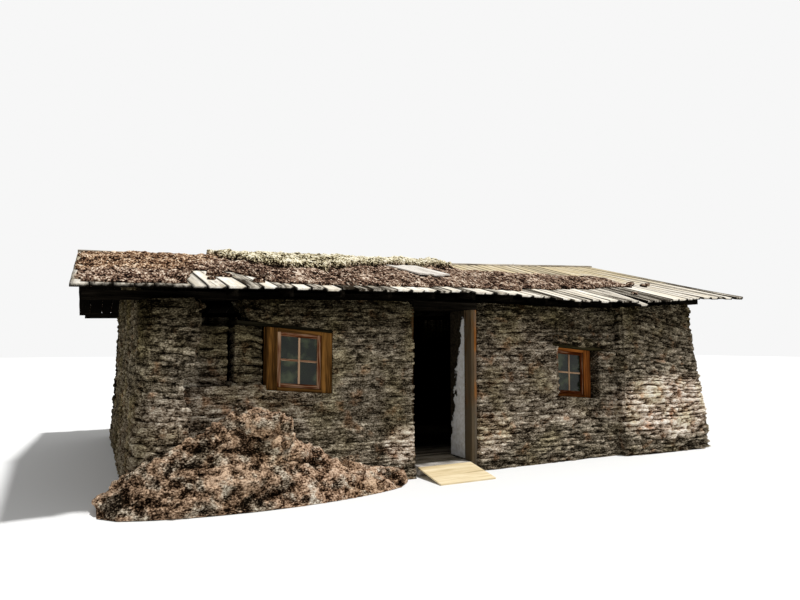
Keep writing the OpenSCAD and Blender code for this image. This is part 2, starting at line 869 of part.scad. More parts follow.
module floor_sleepers() {
  long = in_x - sleeper_gap;
  color(timber) {
    for (y = steps(-in_y + sleeper_in, in_y - sleeper_in, sleeper_n - 1)) sleeper(-long, long, y);
    sleeper(clear_w_x + floor_gap, clear_e_x - floor_gap, (sill_inner - in_y) / 2);
  }
}

// Heap of fallen sod banked against the foot of the front wall, from a toe that lies past the
// worn west corner to a long tail beside the doorway
heap_from = -half_l + heap_in;
heap_to = door_w_x - heap_short;
heap_peak = -half_l + heap_top_x;
heap_cols = 20;
heap_rows = 6;
function west_slope(x) =
  mix(heap_west_h, heap_h, pow((x - heap_from) / (heap_peak - heap_from), 0.8));
function east_slope(x) =
  mix(heap_east_h, heap_h, pow((heap_to - x) / (heap_to - heap_peak), 2.2));
function heap_top(x) = let (a = west_slope(x), b = east_slope(x))
  (a + b - sqrt(pow(a - b, 2) + pow(2 * heap_round, 2))) / 2;
function heap_back(x, z) = half_d + spread(z) + face_proud
  + (x < west_mass_r + heap_toe_t
    ? west_mass_out
      - corner_in(max(x + foot_spread + face_proud, -half_l), -half_l, corner_r)
    : ledge_out);
function heap_front(t) = half_d + foot_spread + face_proud
  + heap_d * (0.2 + 0.8 * sqrt(sin(180 * t)));

// Quarter of a wave from toe to wall, and nearly half of one where no wall stands behind it
function heap_turn(x) = mix(90, 160, share(-x, half_l - corner_r / 2, half_l + corner_r / 2));
function heap_z(x, u) = heap_top(x) * pow(sin(heap_turn(x) * u), 0.9) + heap_toe_t;
module slumped_sod_heap() {
  color("#7b6957")
  loft([for (t = steps(0, 1, heap_cols)) let (x = mix(heap_from, heap_to, t))
    concat([[x, -heap_back(x, 0), 0]], [for (u = steps(0, 1, heap_rows))
      [x, -mix(heap_front(t), heap_back(x, heap_z(x, 1)), u), heap_z(x, u)]])
  ]);
}

west_corner_mass();
wall_below_recess();
recess_stacks();
wall_below_west_window();
wall_over_west_window();
wall_window_to_door();
wall_door_to_window();
wall_below_east_window();
wall_over_east_window();
wall_beside_east_window();
east_corner_mass();
west_end_wall();
east_end_wall();
back_wall();
west_gable();
east_gable();
front_wall_plate();
back_wall_plate();
ridge_beam();
rafters();
front_roof_deck();
back_roof_deck();
ridge_board();
roof_turf_west();
roof_turf_middle();
roof_turf_east();
back_roof_turf();
door_post_west();
door_post_east();
door_head();
door_sill();
door_reveal_plaster();
door_step_board();
west_window_frame();
west_window_sash();
west_window_glass();
west_window_lintel();
east_window_frame();
east_window_sash();
east_window_glass();
east_window_lintel();
floor_boards();
floor_sleepers();
slumped_sod_heap();
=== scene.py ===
# %% [markdown]
# # A prairie turf house
# This lesson dresses a small house of laid-up sod: crumbling walls, a low plank roof under
# dry turf, two racked windows and an open doorway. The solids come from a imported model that
# stays fixed. Each step adds a finish, or a finer piece that stands for one of the solids.

# %% Load the fixed model and keep its box
import json
import math
from itertools import product

import bpy
import numpy as np
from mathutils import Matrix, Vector
from mathutils.bvhtree import BVHTree

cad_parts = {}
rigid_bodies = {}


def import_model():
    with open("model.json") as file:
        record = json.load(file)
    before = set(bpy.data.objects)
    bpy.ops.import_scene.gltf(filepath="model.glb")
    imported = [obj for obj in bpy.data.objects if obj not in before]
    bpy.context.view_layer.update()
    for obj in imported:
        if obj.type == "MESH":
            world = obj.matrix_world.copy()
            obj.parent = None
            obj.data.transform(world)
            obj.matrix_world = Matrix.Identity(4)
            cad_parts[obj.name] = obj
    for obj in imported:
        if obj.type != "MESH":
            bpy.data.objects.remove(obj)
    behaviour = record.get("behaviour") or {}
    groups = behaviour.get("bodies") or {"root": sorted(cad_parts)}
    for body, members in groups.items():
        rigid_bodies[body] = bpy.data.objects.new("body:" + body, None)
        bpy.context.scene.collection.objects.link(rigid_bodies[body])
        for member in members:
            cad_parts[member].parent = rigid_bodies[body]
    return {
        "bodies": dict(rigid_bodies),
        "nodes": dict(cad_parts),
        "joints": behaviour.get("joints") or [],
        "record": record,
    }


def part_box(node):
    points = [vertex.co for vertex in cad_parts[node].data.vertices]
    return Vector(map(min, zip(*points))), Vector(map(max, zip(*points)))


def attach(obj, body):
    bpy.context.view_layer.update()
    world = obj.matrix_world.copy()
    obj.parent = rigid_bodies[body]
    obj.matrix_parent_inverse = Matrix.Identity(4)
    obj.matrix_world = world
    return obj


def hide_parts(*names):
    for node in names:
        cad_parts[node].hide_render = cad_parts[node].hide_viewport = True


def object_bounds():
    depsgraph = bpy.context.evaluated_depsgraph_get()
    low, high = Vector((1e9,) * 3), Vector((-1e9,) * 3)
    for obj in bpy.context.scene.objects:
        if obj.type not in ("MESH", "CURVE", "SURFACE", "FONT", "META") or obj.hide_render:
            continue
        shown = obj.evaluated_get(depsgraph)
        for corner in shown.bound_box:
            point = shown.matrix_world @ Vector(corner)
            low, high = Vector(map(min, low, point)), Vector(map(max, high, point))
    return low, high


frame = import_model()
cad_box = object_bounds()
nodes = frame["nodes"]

print(len(nodes), "solids in a box from", tuple(cad_box[0]), "to", tuple(cad_box[1]))

# %% [markdown]
# ## Camera, light and floor
# The house is seen by someone who stands in front of its west end and looks past the door.
# A wide world light fills the shade, and one soft lamp high above gives the eave its shadow.
# The sky behind is plain white where it is seen, mirrored or looked at through glass, while
# the light that it casts stays dimmer.

# %% Camera at eye height
PICTURE_W = 800
FOCAL_PX = 601
SENSOR_MM = 36
EYE = (-4.65, -9.4, 1.62)
LOOK_UP = 4.28
LOOK_RIGHT = 27.25

bpy.ops.object.camera_add(
    location=EYE, rotation=(math.radians(90 + LOOK_UP), 0, math.radians(-LOOK_RIGHT)))
camera = bpy.context.object
camera.data.sensor_width = SENSOR_MM
camera.data.lens = FOCAL_PX / PICTURE_W * SENSOR_MM
bpy.context.scene.camera = camera
print("lens", round(camera.data.lens, 2), "mm")

# %% Lamp, world and view settings
SUN_TURN = (math.radians(12), math.radians(14), 0)
SUN_STRENGTH = 2.9
SUN_SPREAD = math.radians(4)
SHADE_STRENGTH = 0.62
BACKDROP = (0.93, 0.93, 0.93, 1)

bpy.ops.object.light_add(type="SUN", rotation=SUN_TURN)
sun = bpy.context.object
sun.data.energy = SUN_STRENGTH
sun.data.angle = SUN_SPREAD

scene = bpy.context.scene
scene.view_settings.view_transform = "Standard"
scene.world = bpy.data.worlds.new("studio")
scene.world.use_nodes = True
sky = scene.world.node_tree.nodes
link = scene.world.node_tree.links.new
sky.clear()
fill_light = sky.new("ShaderNodeBackground")
fill_light.inputs["Strength"].default_value = SHADE_STRENGTH
backdrop = sky.new("ShaderNodeBackground")
backdrop.inputs["Color"].default_value = BACKDROP
seen = sky.new("ShaderNodeLightPath")
looked_at = seen.outputs["Is Camera Ray"]
for ray in ("Is Glossy Ray", "Is Transmission Ray"):
    either = sky.new("ShaderNodeMath")
    either.operation = "MAXIMUM"
    link(looked_at, either.inputs[0])
    link(seen.outputs[ray], either.inputs[1])
    looked_at = either.outputs[0]
choose = sky.new("ShaderNodeMixShader")
sky_out = sky.new("ShaderNodeOutputWorld")
link(looked_at, choose.inputs["Fac"])
link(fill_light.outputs[0], choose.inputs[1])
link(backdrop.outputs[0], choose.inputs[2])
link(choose.outputs[0], sky_out.inputs["Surface"])
print("one lamp, and a world of", len(sky), "nodes")

# %% [markdown]
# ## Shader maths as plain expressions
# A finish is a small network of nodes. A Wire stands for one socket of that network, and its
# operators add Math nodes, so a mask can be written as 1 - crack * 0.5. All other nodes come
# from one method of Finish, which sets a node's options first and then its sockets.

# %% Wires and finishes
class Wire:
    def __init__(self, finish, socket):
        self.finish = finish
        self.socket = socket

    def math(self, operation, first, second=0.0):
        return self.finish.node("Math", {"operation": operation}, {0: first, 1: second})

    def __add__(self, other):
        return self.math("ADD", self, other)

    def __sub__(self, other):
        return self.math("SUBTRACT", self, other)

    def __rsub__(self, other):
        return self.math("SUBTRACT", other, self)

    def __mul__(self, other):
        return self.math("MULTIPLY", self, other)

    def clamp(self):
        return self.math("MINIMUM", self.math("MAXIMUM", self, 0.0), 1.0)

    __radd__ = __add__
    __rmul__ = __mul__


class Finish:
    def __init__(self, name, roughness=0.9, follow=None):
        """Patterns lie on Object coordinates, or follow a place that a piece stores."""
        self.material = bpy.data.materials.new(name)
        self.material.use_nodes = True
        self.tree = self.material.node_tree
        self.shader = self.tree.nodes["Principled BSDF"]
        self.shader.inputs["Roughness"].default_value = roughness
        self.shader.inputs["Specular IOR Level"].default_value = 0.0
        self.place = (self.node("Attribute", {"attribute_name": follow}, {}, "Vector") if follow
                      else self.node("TexCoord", {}, {}, "Object"))

    def node(self, kind, settings, inputs, output=0):
        made = self.tree.nodes.new("ShaderNode" + kind)
        for option, value in settings.items():
            if option == "stops":
                set_stops(made.color_ramp, value)
            else:
                setattr(made, option, value)
        for name, value in inputs.items():
            if isinstance(value, Wire):
                self.tree.links.new(value.socket, made.inputs[name])
            else:
                made.inputs[name].default_value = value
        return Wire(self, made.outputs[output])

    def noise(self, scale, detail=3.0, stretch=(1, 1, 1)):
        place = self.node("Mapping", {}, {"Vector": self.place, "Scale": stretch})
        return self.node("TexNoise", {}, {"Vector": place, "Scale": scale, "Detail": detail})

    def cells(self, scale, stretch):
        place = self.node("Mapping", {}, {"Vector": self.place, "Scale": stretch})
        return self.node("TexVoronoi", {}, {"Vector": place, "Scale": scale}, "Distance")

    def axis(self, name):
        return self.node("SeparateXYZ", {}, {"Vector": self.place}, name)

    def stored(self, name):
        return self.node("Attribute", {"attribute_name": name}, {}, "Fac")

    def range(self, value, low, high):
        return self.node("MapRange", {"interpolation_type": "SMOOTHSTEP"},
                         {"Value": value, "From Min": low, "From Max": high})

    def ramp(self, value, *stops):
        return self.node("ValToRGB", {"stops": stops}, {"Fac": value}, "Color")

    def mix(self, factor, first, second, blend="MIX"):
        return self.node("Mix", {"data_type": "RGBA", "blend_type": blend},
                         {0: factor, 6: paint(first), 7: paint(second)}, 2)

    def bump(self, height, distance, strength=1.0):
        normal = self.node("Bump", {},
                           {"Height": height, "Distance": distance, "Strength": strength})
        self.tree.links.new(normal.socket, self.shader.inputs["Normal"])

    def colour(self, value):
        self.base = value
        self.tree.links.new(value.socket, self.shader.inputs["Base Color"])


def paint(value):
    """A wire stays as it is, and a colour such as #8a5530 is made linear."""
    if isinstance(value, Wire):
        return value
    parts = [int(value[i:i + 2], 16) / 255 for i in (1, 3, 5)]
    return tuple(c / 12.92 if c < 0.04 else ((c + 0.055) / 1.055) ** 2.4 for c in parts) + (1.0,)


def set_stops(ramp, stops):
    ramp.elements[0].position = stops[0][0]
    ramp.elements[1].position = stops[-1][0]
    for position, _ in stops[1:-1]:
        ramp.elements.new(position)
    for element, (_, colour) in zip(ramp.elements, stops):
        element.color = paint(colour)


# %% The floor under the house
FLOOR_SIZE = 160
FLOOR_COLOUR = (0.84, 0.84, 0.83, 1)

floor_finish = Finish("pale_floor")
floor_finish.shader.inputs["Base Color"].default_value = FLOOR_COLOUR
bpy.ops.mesh.primitive_plane_add(size=FLOOR_SIZE)
floor = bpy.context.object
floor.name = "studio_floor"
floor.data.materials.append(floor_finish.material)
print(floor.name, "is", FLOOR_SIZE, "m wide")

# %% [markdown]
# ## Noise and rays
# Sod is never regular, so most shapes below take their unevenness from smooth noise: random
# numbers on a lattice, blended between its points. The seed fixes the numbers, so the house
# comes out the same each time. Rays cast at a solid tell where its surface lies.

# %% Smooth noise on a lattice
LATTICE = 32


def noise(points, seed):
    """Noise from -1 to 1 at points of two or three coordinates, one lattice cell to a unit."""
    points = np.atleast_2d(points)
    size = points.shape[1]
    table = np.random.default_rng(seed).random((LATTICE,) * size)
    base = np.floor(points).astype(int)
    part = points - base
    part = part * part * (3 - 2 * part)
    total = np.zeros(len(points))
    for corner in product((0, 1), repeat=size):
        weight = np.prod(np.where(corner, part, 1 - part), axis=1)
        total += weight * table[tuple(((base + corner) % LATTICE).T)]
    return 2 * total - 1


def rough_noise(points, seed, octaves=3):
    return sum(noise(points * 2 ** k + 7.3 * k, seed + k) / 2 ** k for k in range(octaves))


def smoothstep(value, low, high):
    t = np.clip((value - low) / (high - low), 0, 1)
    return t * t * (3 - 2 * t)


# %% Rays at a solid
def solid_of(node):
    mesh = nodes[node].data
    return BVHTree.FromPolygons([v.co for v in mesh.vertices], [p.vertices for p in mesh.polygons])


def cast(solid, start, direction, miss):
    """Distance to the solid from each start point, or miss where the ray passes it."""
    found = [solid.ray_cast(Vector(p), Vector(d))[3] for p, d in zip(start, direction)]
    return np.array([miss if f is None else f for f in found])


def top_of(solid, places, above=3.0, beside=0.0):
    """Heights of the top of a solid at places of the plan, looked down at from above."""
    start = np.column_stack([places, np.full(len(places), above)])
    return above - cast(solid, start, [(0, 0, -1)] * len(places), above - beside)


# %% Small tools for objects
def work_on(piece):
    bpy.ops.object.select_all(action="DESELECT")
    piece.select_set(True)
    bpy.context.view_layer.objects.active = piece
    return piece


def added(primitive, **how):
    """A new primitive, with everything else deselected first."""
    bpy.ops.object.select_all(action="DESELECT")
    primitive(**how)
    return bpy.context.object


def resize(*size):
    """Scales a new primitive in edit mode, so that its object stays unscaled."""
    bpy.ops.object.mode_set(mode="EDIT")
    bpy.ops.transform.resize(value=size)
    bpy.ops.object.mode_set(mode="OBJECT")


def remeshed(piece, voxel):
    piece.data.remesh_voxel_size = voxel
    bpy.ops.object.voxel_remesh()
    return piece


def points_of(piece, what="vertices", item="co"):
    source = getattr(piece.data, what)
    flat = np.empty(len(source) * 3, np.float32)
    source.foreach_get(item, flat)
    return flat.reshape(-1, 3).astype(float)


def normals_of(piece):
    return points_of(piece, "vertex_normals", "vector")


def move_points(piece, points):
    piece.data.vertices.foreach_set("co", points.reshape(-1).astype(np.float32))
    piece.data.update()


def store(piece, name, values):
    made = piece.data.attributes.new(name, "FLOAT", "POINT")
    made.data.foreach_set("value", np.asarray(values, np.float32))


def select_points(piece, wanted):
    bpy.ops.object.mode_set(mode="EDIT")
    bpy.ops.mesh.select_mode(type="VERT")
    bpy.ops.mesh.select_all(action="DESELECT")
    bpy.ops.object.mode_set(mode="OBJECT")
    piece.data.vertices.foreach_set("select", wanted)
    bpy.ops.object.mode_set(mode="EDIT")


def dress(piece, finish):
    piece.data.materials.clear()
    piece.data.materials.append(finish.material)


def keep(piece, name, finish, slot, *replaced):
    """Names a finished piece, gives it its finish and hides the solids that it stands for."""
    piece.name = name
    piece.data.name = name
    dress(piece, finish)
    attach(piece, "root")
    if replaced:
        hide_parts(*replaced)
    print(name, "has", len(piece.data.polygons), "faces")


# %% [markdown]
# ## The sod finish
# Old sod is grey-brown and fibrous: dark where the courses part, pale along their edges, with
# olive and rust tints. Painting it by hand would not agree with the shape. So the walls below
# store their relief, which paints light on the upper side of each course, a tone for each lump
# and how much painted sunlight and painted shade each point gets, and the finish reads them.

# %% Sod
def sod_finish(name, olive, rust, fibre=(22, 22, 72), coarse=1.0, rust_from=0.55):
    sod = Finish(name, roughness=0.95)
    relief = sod.stored("relief")
    tone = sod.stored("tone")
    bleached = sod.stored("bleached")
    sheltered = sod.stored("sheltered")
    fibres = sod.noise(1.0, 5.0, stretch=fibre)
    grains = sod.cells(42.0, (1.0, 1.0, 1.5))
    grit = sod.noise(75.0, 3.0)
    patches = sod.noise(1.7, 3.0)
    # Painted sunlight lightens the sod, and painted shade darkens it
    height = (relief + (fibres - 0.5) * 1.35 * coarse + (0.36 - grains) * 0.45 * coarse
              + (grit - 0.5) * 1.1 + (tone - 0.5) * 0.28 + (patches - 0.5) * 0.2
              + bleached * 0.16 - sheltered * 0.14).clamp()
    body = sod.ramp(height, (0.0, "#0f0c08"), (0.25, "#3c3428"), (0.5, "#746a5a"),
                    (0.72, "#9d917e"), (1.0, "#ddd1bb"))
    pale = sod.ramp(height, (0.0, "#150f0b"), (0.26, "#604c3d"), (0.48, "#b59e88"),
                    (0.7, "#dccab7"), (1.0, "#fbf3e6"))
    # Where painted sunlight falls, the sod takes the paler ramp
    with_painted_sun = sod.mix(bleached, body, pale)
    # Olive moss in patches, with more olive tint in the painted shade
    mossy = sod.mix((sod.range(patches, 0.46, 0.66) * olive + sheltered * 0.5).clamp(),
                    with_painted_sun, "#d2cd97", "MULTIPLY")
    rusty = sod.range(sod.noise(6.5, 4.0), rust_from, rust_from + 0.17)
    stained = sod.mix(rusty * rust, mossy, "#e8b184", "MULTIPLY")
    # Painted shade: dark olive-grey under the eaves, inside and in the recess
    sod.colour(sod.mix(sheltered * 0.85, stained, "#5c5944", "MULTIPLY"))
    sod.bump(fibres * 0.8 + grit * 0.3 - grains * 0.3, 0.03, 1.0)
    return sod


sod = sod_finish("weathered_sod", olive=0.45, rust=0.6)
print(sod.material.name, "has", len(sod.tree.nodes), "nodes")

# %% [markdown]
# ## Laying the courses
# A sod wall is stacked strips of turf, laid upside down, that settle and weather into wavy
# beds. Strips modelled one by one would leave gaps, so a wall here is one grid: its rows
# follow the beds, so every groove is crisp, and its columns follow the plan of the wall. The
# grid runs up the outer face, over the top and down the inner face. Bridging its first and
# last rows and filling its two ends closes it.

# %% Beds of sod
ROWS_IN_COURSE = (0.0, 0.15, 0.42, 0.7, 0.9)
TALLEST_WALL = 3.4
TONES = 64


def grid_of(rows, along):
    return (part.reshape(-1) for part in np.meshgrid(rows, along, indexing="ij"))


class Beds:
    """Where the courses of a stretch of wall lie, and how their faces stand out.

    The pitch is a course's height and the depth that of its grooves, in metres. Broken says
    how far single sods stand out, crumbly how rough they are, and wave how far beds wander."""

    def __init__(self, seed, pitch, depth, sod_length, broken, crumbly, wave=0.02, dip=None):
        count = int(TALLEST_WALL / pitch) + 4
        rng = np.random.default_rng(seed)
        self.line = np.cumsum(pitch * rng.uniform(0.7, 1.3, count)) - 2 * pitch
        self.own = rng.random((TONES, TONES))
        self.seed, self.pitch, self.depth, self.sod_length = seed, pitch, depth, sod_length
        self.broken, self.crumbly, self.wave, self.dip = broken, crumbly, wave, dip

    def bed(self, along, index):
        line = self.line[index]
        slow = noise(np.column_stack([along / 0.9, line / 0.5]), self.seed)
        quick = rough_noise(np.column_stack([along / 0.2, index * 3.7]), self.seed + 1, 2)
        bed = line + self.wave * slow + 0.22 * self.pitch * quick
        return bed if self.dip is None else bed + self.dip(along, line)

    def height(self, along, row):
        index = np.floor(row).astype(int)
        low, high = self.bed(along, index), self.bed(along, index + 1)
        return low + (high - low) * (row - index)

    def rows_between(self, along, foot, top):
        """The rows that reach from foot to top, and the height of each of their points."""
        courses = range(len(self.line) - 1)
        rows = np.array([c + part for c in courses for part in ROWS_IN_COURSE])
        grid_row, grid_along = grid_of(rows, along)
        height = self.height(grid_along, grid_row).reshape(len(rows), -1)
        used = np.flatnonzero((height > foot.min()).any(1) & (height < top.max()).any(1))
        used = slice(max(used[0] - 1, 0), used[-1] + 2)
        return rows[used], height[used]

    def face(self, along, row, place):
        """How far each point stands out, and its relief and tone from 0 to 1."""
        index = np.floor(row)
        part = row - index
        rounded = 1 - np.abs(2 * part - 1) ** 2.4
        gaping = noise(np.column_stack([along / 0.16, index * 5.1]), self.seed + 2)
        gaping = smoothstep(gaping, -0.5, 0.8)
        stagger = noise(np.column_stack([along / self.sod_length, index * 3.1]), self.seed + 3)
        place_in_row = along / self.sod_length + 0.618 * index + 0.35 * stagger
        strip = np.floor(place_in_row)
        own = self.own[index.astype(int) % TONES, strip.astype(int) % TONES] - 0.5
        from_butt = np.minimum(place_in_row - strip, strip + 1 - place_in_row) * self.sod_length
        butt = 1 - smoothstep(from_butt, 0.0, 0.022)
        crumb = rough_noise(place / (0.085, 0.085, 0.032), self.seed + 5)
        swell = noise(place / 0.3, self.seed + 6)
        joint = (rounded - 0.6) * (0.12 + 0.88 * gaping)
        stands = joint + self.broken * (1.3 * own - 0.4 * butt) + self.crumbly * crumb
        # Painted light: the upper side of each course is lighter, and its underside darker as
        # painted shade
        deep = (self.depth / 0.028) ** 0.6
        relief = (0.5 + deep * (0.34 * joint + 0.2 * (part - 0.45))
                  + self.broken * (0.2 * own - 0.2 * butt) + 0.25 * crumb)
        tone = 0.5 + 0.3 * own + 0.45 * noise(place / (0.2, 0.2, 0.09), self.seed + 7)
        return self.depth * stands + 0.008 * swell, np.clip(relief, 0, 1), tone


# %% Plan of a wall
def plan_path(corners, step):
    """Even points along a plan line with rounded corners, their outward normals and distances."""
    line = [corners[0][:2]]
    for (ax, ay, _), (bx, by, radius), (cx, cy, _) in zip(corners, corners[1:], corners[2:]):
        before, corner, after = Vector((ax, ay)), Vector((bx, by)), Vector((cx, cy))
        start = corner + (before - corner).normalized() * radius
        end = corner + (after - corner).normalized() * radius
        for u in np.linspace(0, 1, 9):
            line.append(tuple((1 - u) ** 2 * start + 2 * u * (1 - u) * corner + u * u * end))
    line = np.array(line + [corners[-1][:2]])
    length = np.concatenate([[0], np.cumsum(np.hypot(*np.diff(line, axis=0).T))])
    along = np.linspace(0, length[-1], max(3, int(length[-1] / step)))
    points = np.column_stack([np.interp(along, length, line[:, k]) for k in (0, 1)])
    tangent = np.gradient(points, axis=0)
    tangent /= np.linalg.norm(tangent, axis=1)[:, None]
    return points, np.column_stack([tangent[:, 1], -tangent[:, 0]]), along


# %% A closed shell from a grid
def shell(points):
    """A grid of rows and columns of points, still open at its ends."""
    rows, columns = points.shape[:2]
    piece = added(bpy.ops.mesh.primitive_grid_add, x_subdivisions=columns - 1,
                  y_subdivisions=rows - 1, calc_uvs=False)
    move_points(piece, points)
    return piece


def close_shell(piece, rows, columns):
    ends = np.zeros((rows, columns), bool)
    ends[0] = ends[-1] = True
    select_points(piece, ends.reshape(-1))
    bpy.ops.mesh.bridge_edge_loops()
    bpy.ops.mesh.select_all(action="SELECT")
    bpy.ops.mesh.fill_holes(sides=0)
    bpy.ops.mesh.select_all(action="SELECT")
    bpy.ops.mesh.remove_doubles(threshold=0.0004)
    bpy.ops.mesh.normals_make_consistent(inside=False)
    bpy.ops.object.mode_set(mode="OBJECT")
    bpy.ops.object.shade_smooth_by_angle(angle=math.radians(55))


# %% Where painted sunlight and painted shade lie on the sod
PAINTED_SUN_PATCHES = ((3.35, 0.70, 1.05, 0.46, 1.0), (-0.05, 0.45, 0.45, 0.3, 0.5),
            (1.6, 0.62, 0.5, 0.12, 0.2), (0.7, 1.2, 1.0, 0.8, 0.15),
            (-1.25, 0.42, 0.22, 0.22, 0.75), (-3.2, 0.9, 0.8, 0.4, 0.25),
            (-4.3, 0.5, 0.7, 0.6, 0.2))


def painted_sun_at(x, y, z):
    """Painted sunlight on the front, from oval patches: middle, half sizes, strength."""
    share = sum(strength * smoothstep(-np.hypot((x - cx) / rx, (z - cz) / rz), -1.25, -0.7)
                for cx, cz, rx, rz, strength in PAINTED_SUN_PATCHES)
    return np.clip(share, 0, 1) * (y < 0)


def painted_shade_at(x, y, z):
    """Painted shade: under the eave, most at the west end of the front, and also high on the ends
    and back, on the west end and in the recess over the inner stacks.
    """
    facing = smoothstep(-y, 2.1, 2.7)
    front = smoothstep(z, 1.55, 2.05) * (0.45 + 0.32 * smoothstep(-x, 0.0, 2.5))
    elsewhere = 0.4 * smoothstep(z, 1.7, 2.3)
    west = 0.35 * smoothstep(-x, 4.08, 4.22)
    fallen = (0.2 * smoothstep(-x, 2.7, 3.0) * smoothstep(x, -3.62, -3.5)
              * smoothstep(z, 1.1, 1.25) * (y > -2.7) * (y < -1))
    return np.clip(facing * front + fallen + west + (1 - facing) * elsewhere, 0, 1)


# %% Where the solid of a wall lies
RAY_START = 0.8
INSET = 0.003
PROBE_DEPTH = 0.3


def foot_and_top(solid, plan, low, high):
    """Heights of a solid's underside and top at points of its plan."""
    up, down = (cast(solid, np.column_stack([plan, np.full(len(plan), z)]),
                     [(0, 0, way)] * len(plan), 0.0)
                for z, way in ((low[2] - 1, 1), (high[2] + 1, -1)))
    return low[2] - 1 + up, high[2] + 1 - down


def face_of(solid, xy, normal, level, low, high, plain_sides):
    """How far a solid's face lies in front of the plan line, from rays straight at it."""
    sideways = np.abs(normal[:, 0]) > 0.7
    inner = np.clip(xy, low[:2] + INSET, high[:2] - INSET)
    aimed = np.column_stack([np.where(sideways, xy[:, 0], inner[:, 0]),
                             np.where(sideways, inner[:, 1], xy[:, 1])])
    start = np.column_stack([aimed + normal * RAY_START, level])
    ahead = np.column_stack([-normal, np.zeros(len(level))])
    face = RAY_START - cast(solid, start, ahead, RAY_START)
    return np.where(sideways & plain_sides, 0, face)


# %% A wall of sod
WALL_STEP = 0.018
LUMPY_ROWS = (0.12, 0.3, 0.5, 0.75, 1.0)
PLAIN_ROWS = (0.5, 1.0)
INNER_ROWS = (0.25, 0.5, 0.75, 1.0)
INNER_TONE = 0.3


def over_and_down(edge, inner_line, foot, top, lumpy_top, seed):
    """Rows over the top of a wall and down its inner face, and the relief of their points."""
    over, lumps = [], []
    for share in LUMPY_ROWS if lumpy_top else PLAIN_ROWS:
        place = edge * (1 - share) + inner_line * share
        rise = rough_noise(place / 0.09, seed)
        lumps.append(np.clip(0.5 + 0.5 * rise, 0, 1))
        over.append(np.column_stack([place, top + lumpy_top * rise * (share < 1)]))
    down = [np.column_stack([inner_line, top + (foot - top) * share]) for share in INNER_ROWS]
    lumps.append(np.full(len(down) * len(top), INNER_TONE))
    return np.array(over + down), np.concatenate(lumps)


def sod_wall(node, corners, beds, inner, step=WALL_STEP, lumpy_top=0.0, at=None, start=None,
             jamb=1.0, worn=None, plain_sides=False):
    """Lays beds of sod over one solid, whose outer face, foot and top are found with rays.

    A jamb above 1 deepens the beds where the wall turns into an opening, worn is a function
    that moves the finished grid of points, and plain sides stay on the plan line."""
    solid = solid_of(node)
    plan, out, along = plan_path(corners, step)
    middle = len(plan) // 2
    along = along + (start if start is not None
                     else plan[middle] @ (-out[middle][1], out[middle][0]) - along[middle])
    low, high = (np.array(corner) for corner in (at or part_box(node)))
    probe = np.clip(plan - out * PROBE_DEPTH, low[:2] + INSET, high[:2] - INSET)
    foot, top = foot_and_top(solid, probe, low, high)
    rows, height = beds.rows_between(along, foot, top)
    z = np.clip(height, foot, top)

    grid_row, grid_along = grid_of(rows, along)
    xy, normal = (np.tile(part, (len(rows), 1)) for part in (plan, out))
    level = np.clip(z, foot + INSET, top - INSET).reshape(-1)
    face = face_of(solid, xy, normal, level, low, high, plain_sides)
    stands, relief, tone = beds.face(grid_along, grid_row, np.column_stack([xy, level]))
    turning = smoothstep(np.abs(normal[:, 0]), 0.3, 0.9)
    stands = np.where(jamb * turning > 1, np.clip(jamb * stands, -0.045, 0.012), stands)
    edge = noise(np.column_stack([grid_along / 0.1, grid_along * 0]), beds.seed + 8)
    inside = ((height > foot) & (height < top)).reshape(-1)
    stands = np.where(inside, stands, 0.3 * beds.depth * edge)
    outer = np.column_stack([xy + normal * (face + stands)[:, None], z.reshape(-1)])
    outer = outer.reshape(len(rows), -1, 3)

    inner_line = np.array([inner(x, y) for x, y in plan])
    rest, lumps = over_and_down(outer[-1, :, :2], inner_line, foot, top, lumpy_top, beds.seed + 9)
    points = np.concatenate([outer, rest])
    if worn:
        points = worn(points)
    piece = shell(points)
    places = points.reshape(-1, 3).T
    bleached, sheltered = painted_sun_at(*places), painted_shade_at(*places)
    # The faces towards the room get full painted shade
    sheltered[-len(INNER_ROWS) * len(plan):] = 1
    relief = np.concatenate([relief, lumps])
    # Painted sunlight also raises the contrast of the relief
    store(piece, "relief", np.clip(0.5 + (relief - 0.5) * (1 + 0.7 * bleached), 0, 1))
    store(piece, "tone", np.concatenate([tone, lumps]))
    store(piece, "bleached", bleached)
    store(piece, "sheltered", sheltered)
    close_shell(piece, *points.shape[:2])
    return piece


# %% [markdown]
# ## The front wall, bay by bay
# The front is laid up in bays between the openings. The two corners stand out as thicker
# masses of sod with courses of their own. Beside the west window the outer skin has fallen
# off in an old collapse, which leaves a ledge, two inner stacks and a dark hole.

# %% Bays of the front
ARRIS = 0.03
FOOT_ROOM = 0.08
inner_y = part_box("wall_window_to_door")[1].y
# The inner edge of a corner piece lies a little inside the plain end of the house
INNER_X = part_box("east_gable")[1].x - 0.02


def plan_of_bay(x0, x1, y, west_turn=0.0, east_turn=0.0, west_radius=ARRIS, east_radius=ARRIS):
    """Plan corners of a bay: the front, and how far its line turns in at each end."""
    corners = [(x0, y, west_radius), (x1, y, east_radius)]
    if west_turn:
        corners.insert(0, (x0, y + west_turn, 0))
    if east_turn:
        corners.append((x1, y + east_turn, 0))
    return corners


def front_piece(node, name, beds, turns=None, x_range=None, **ways):
    low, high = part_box(node)
    x0, x1 = x_range or (low.x, high.x)
    piece = sod_wall(node, plan_of_bay(x0, x1, low.y + FOOT_ROOM, **(turns or {})), beds,
                     lambda x, y: (min(max(x, x0, -INNER_X), x1, INNER_X), inner_y),
                     at=((x0, low.y, low.z), (x1, high.y, high.z)), **ways)
    keep(piece, name, sod, "sod", node)


# %% Beds of the front
def east_dip(along, line):
    """The courses of the east mass sag towards its outer end."""
    return -0.22 * smoothstep(along, 2.6, 4.3) * smoothstep(line, 0.7, 1.6)


def stack_dip(along, line):
    """The courses of the inner stacks sag at their east end."""
    return -0.09 * smoothstep(along, -3.05, -2.75) * smoothstep(line, 1.0, 1.7)


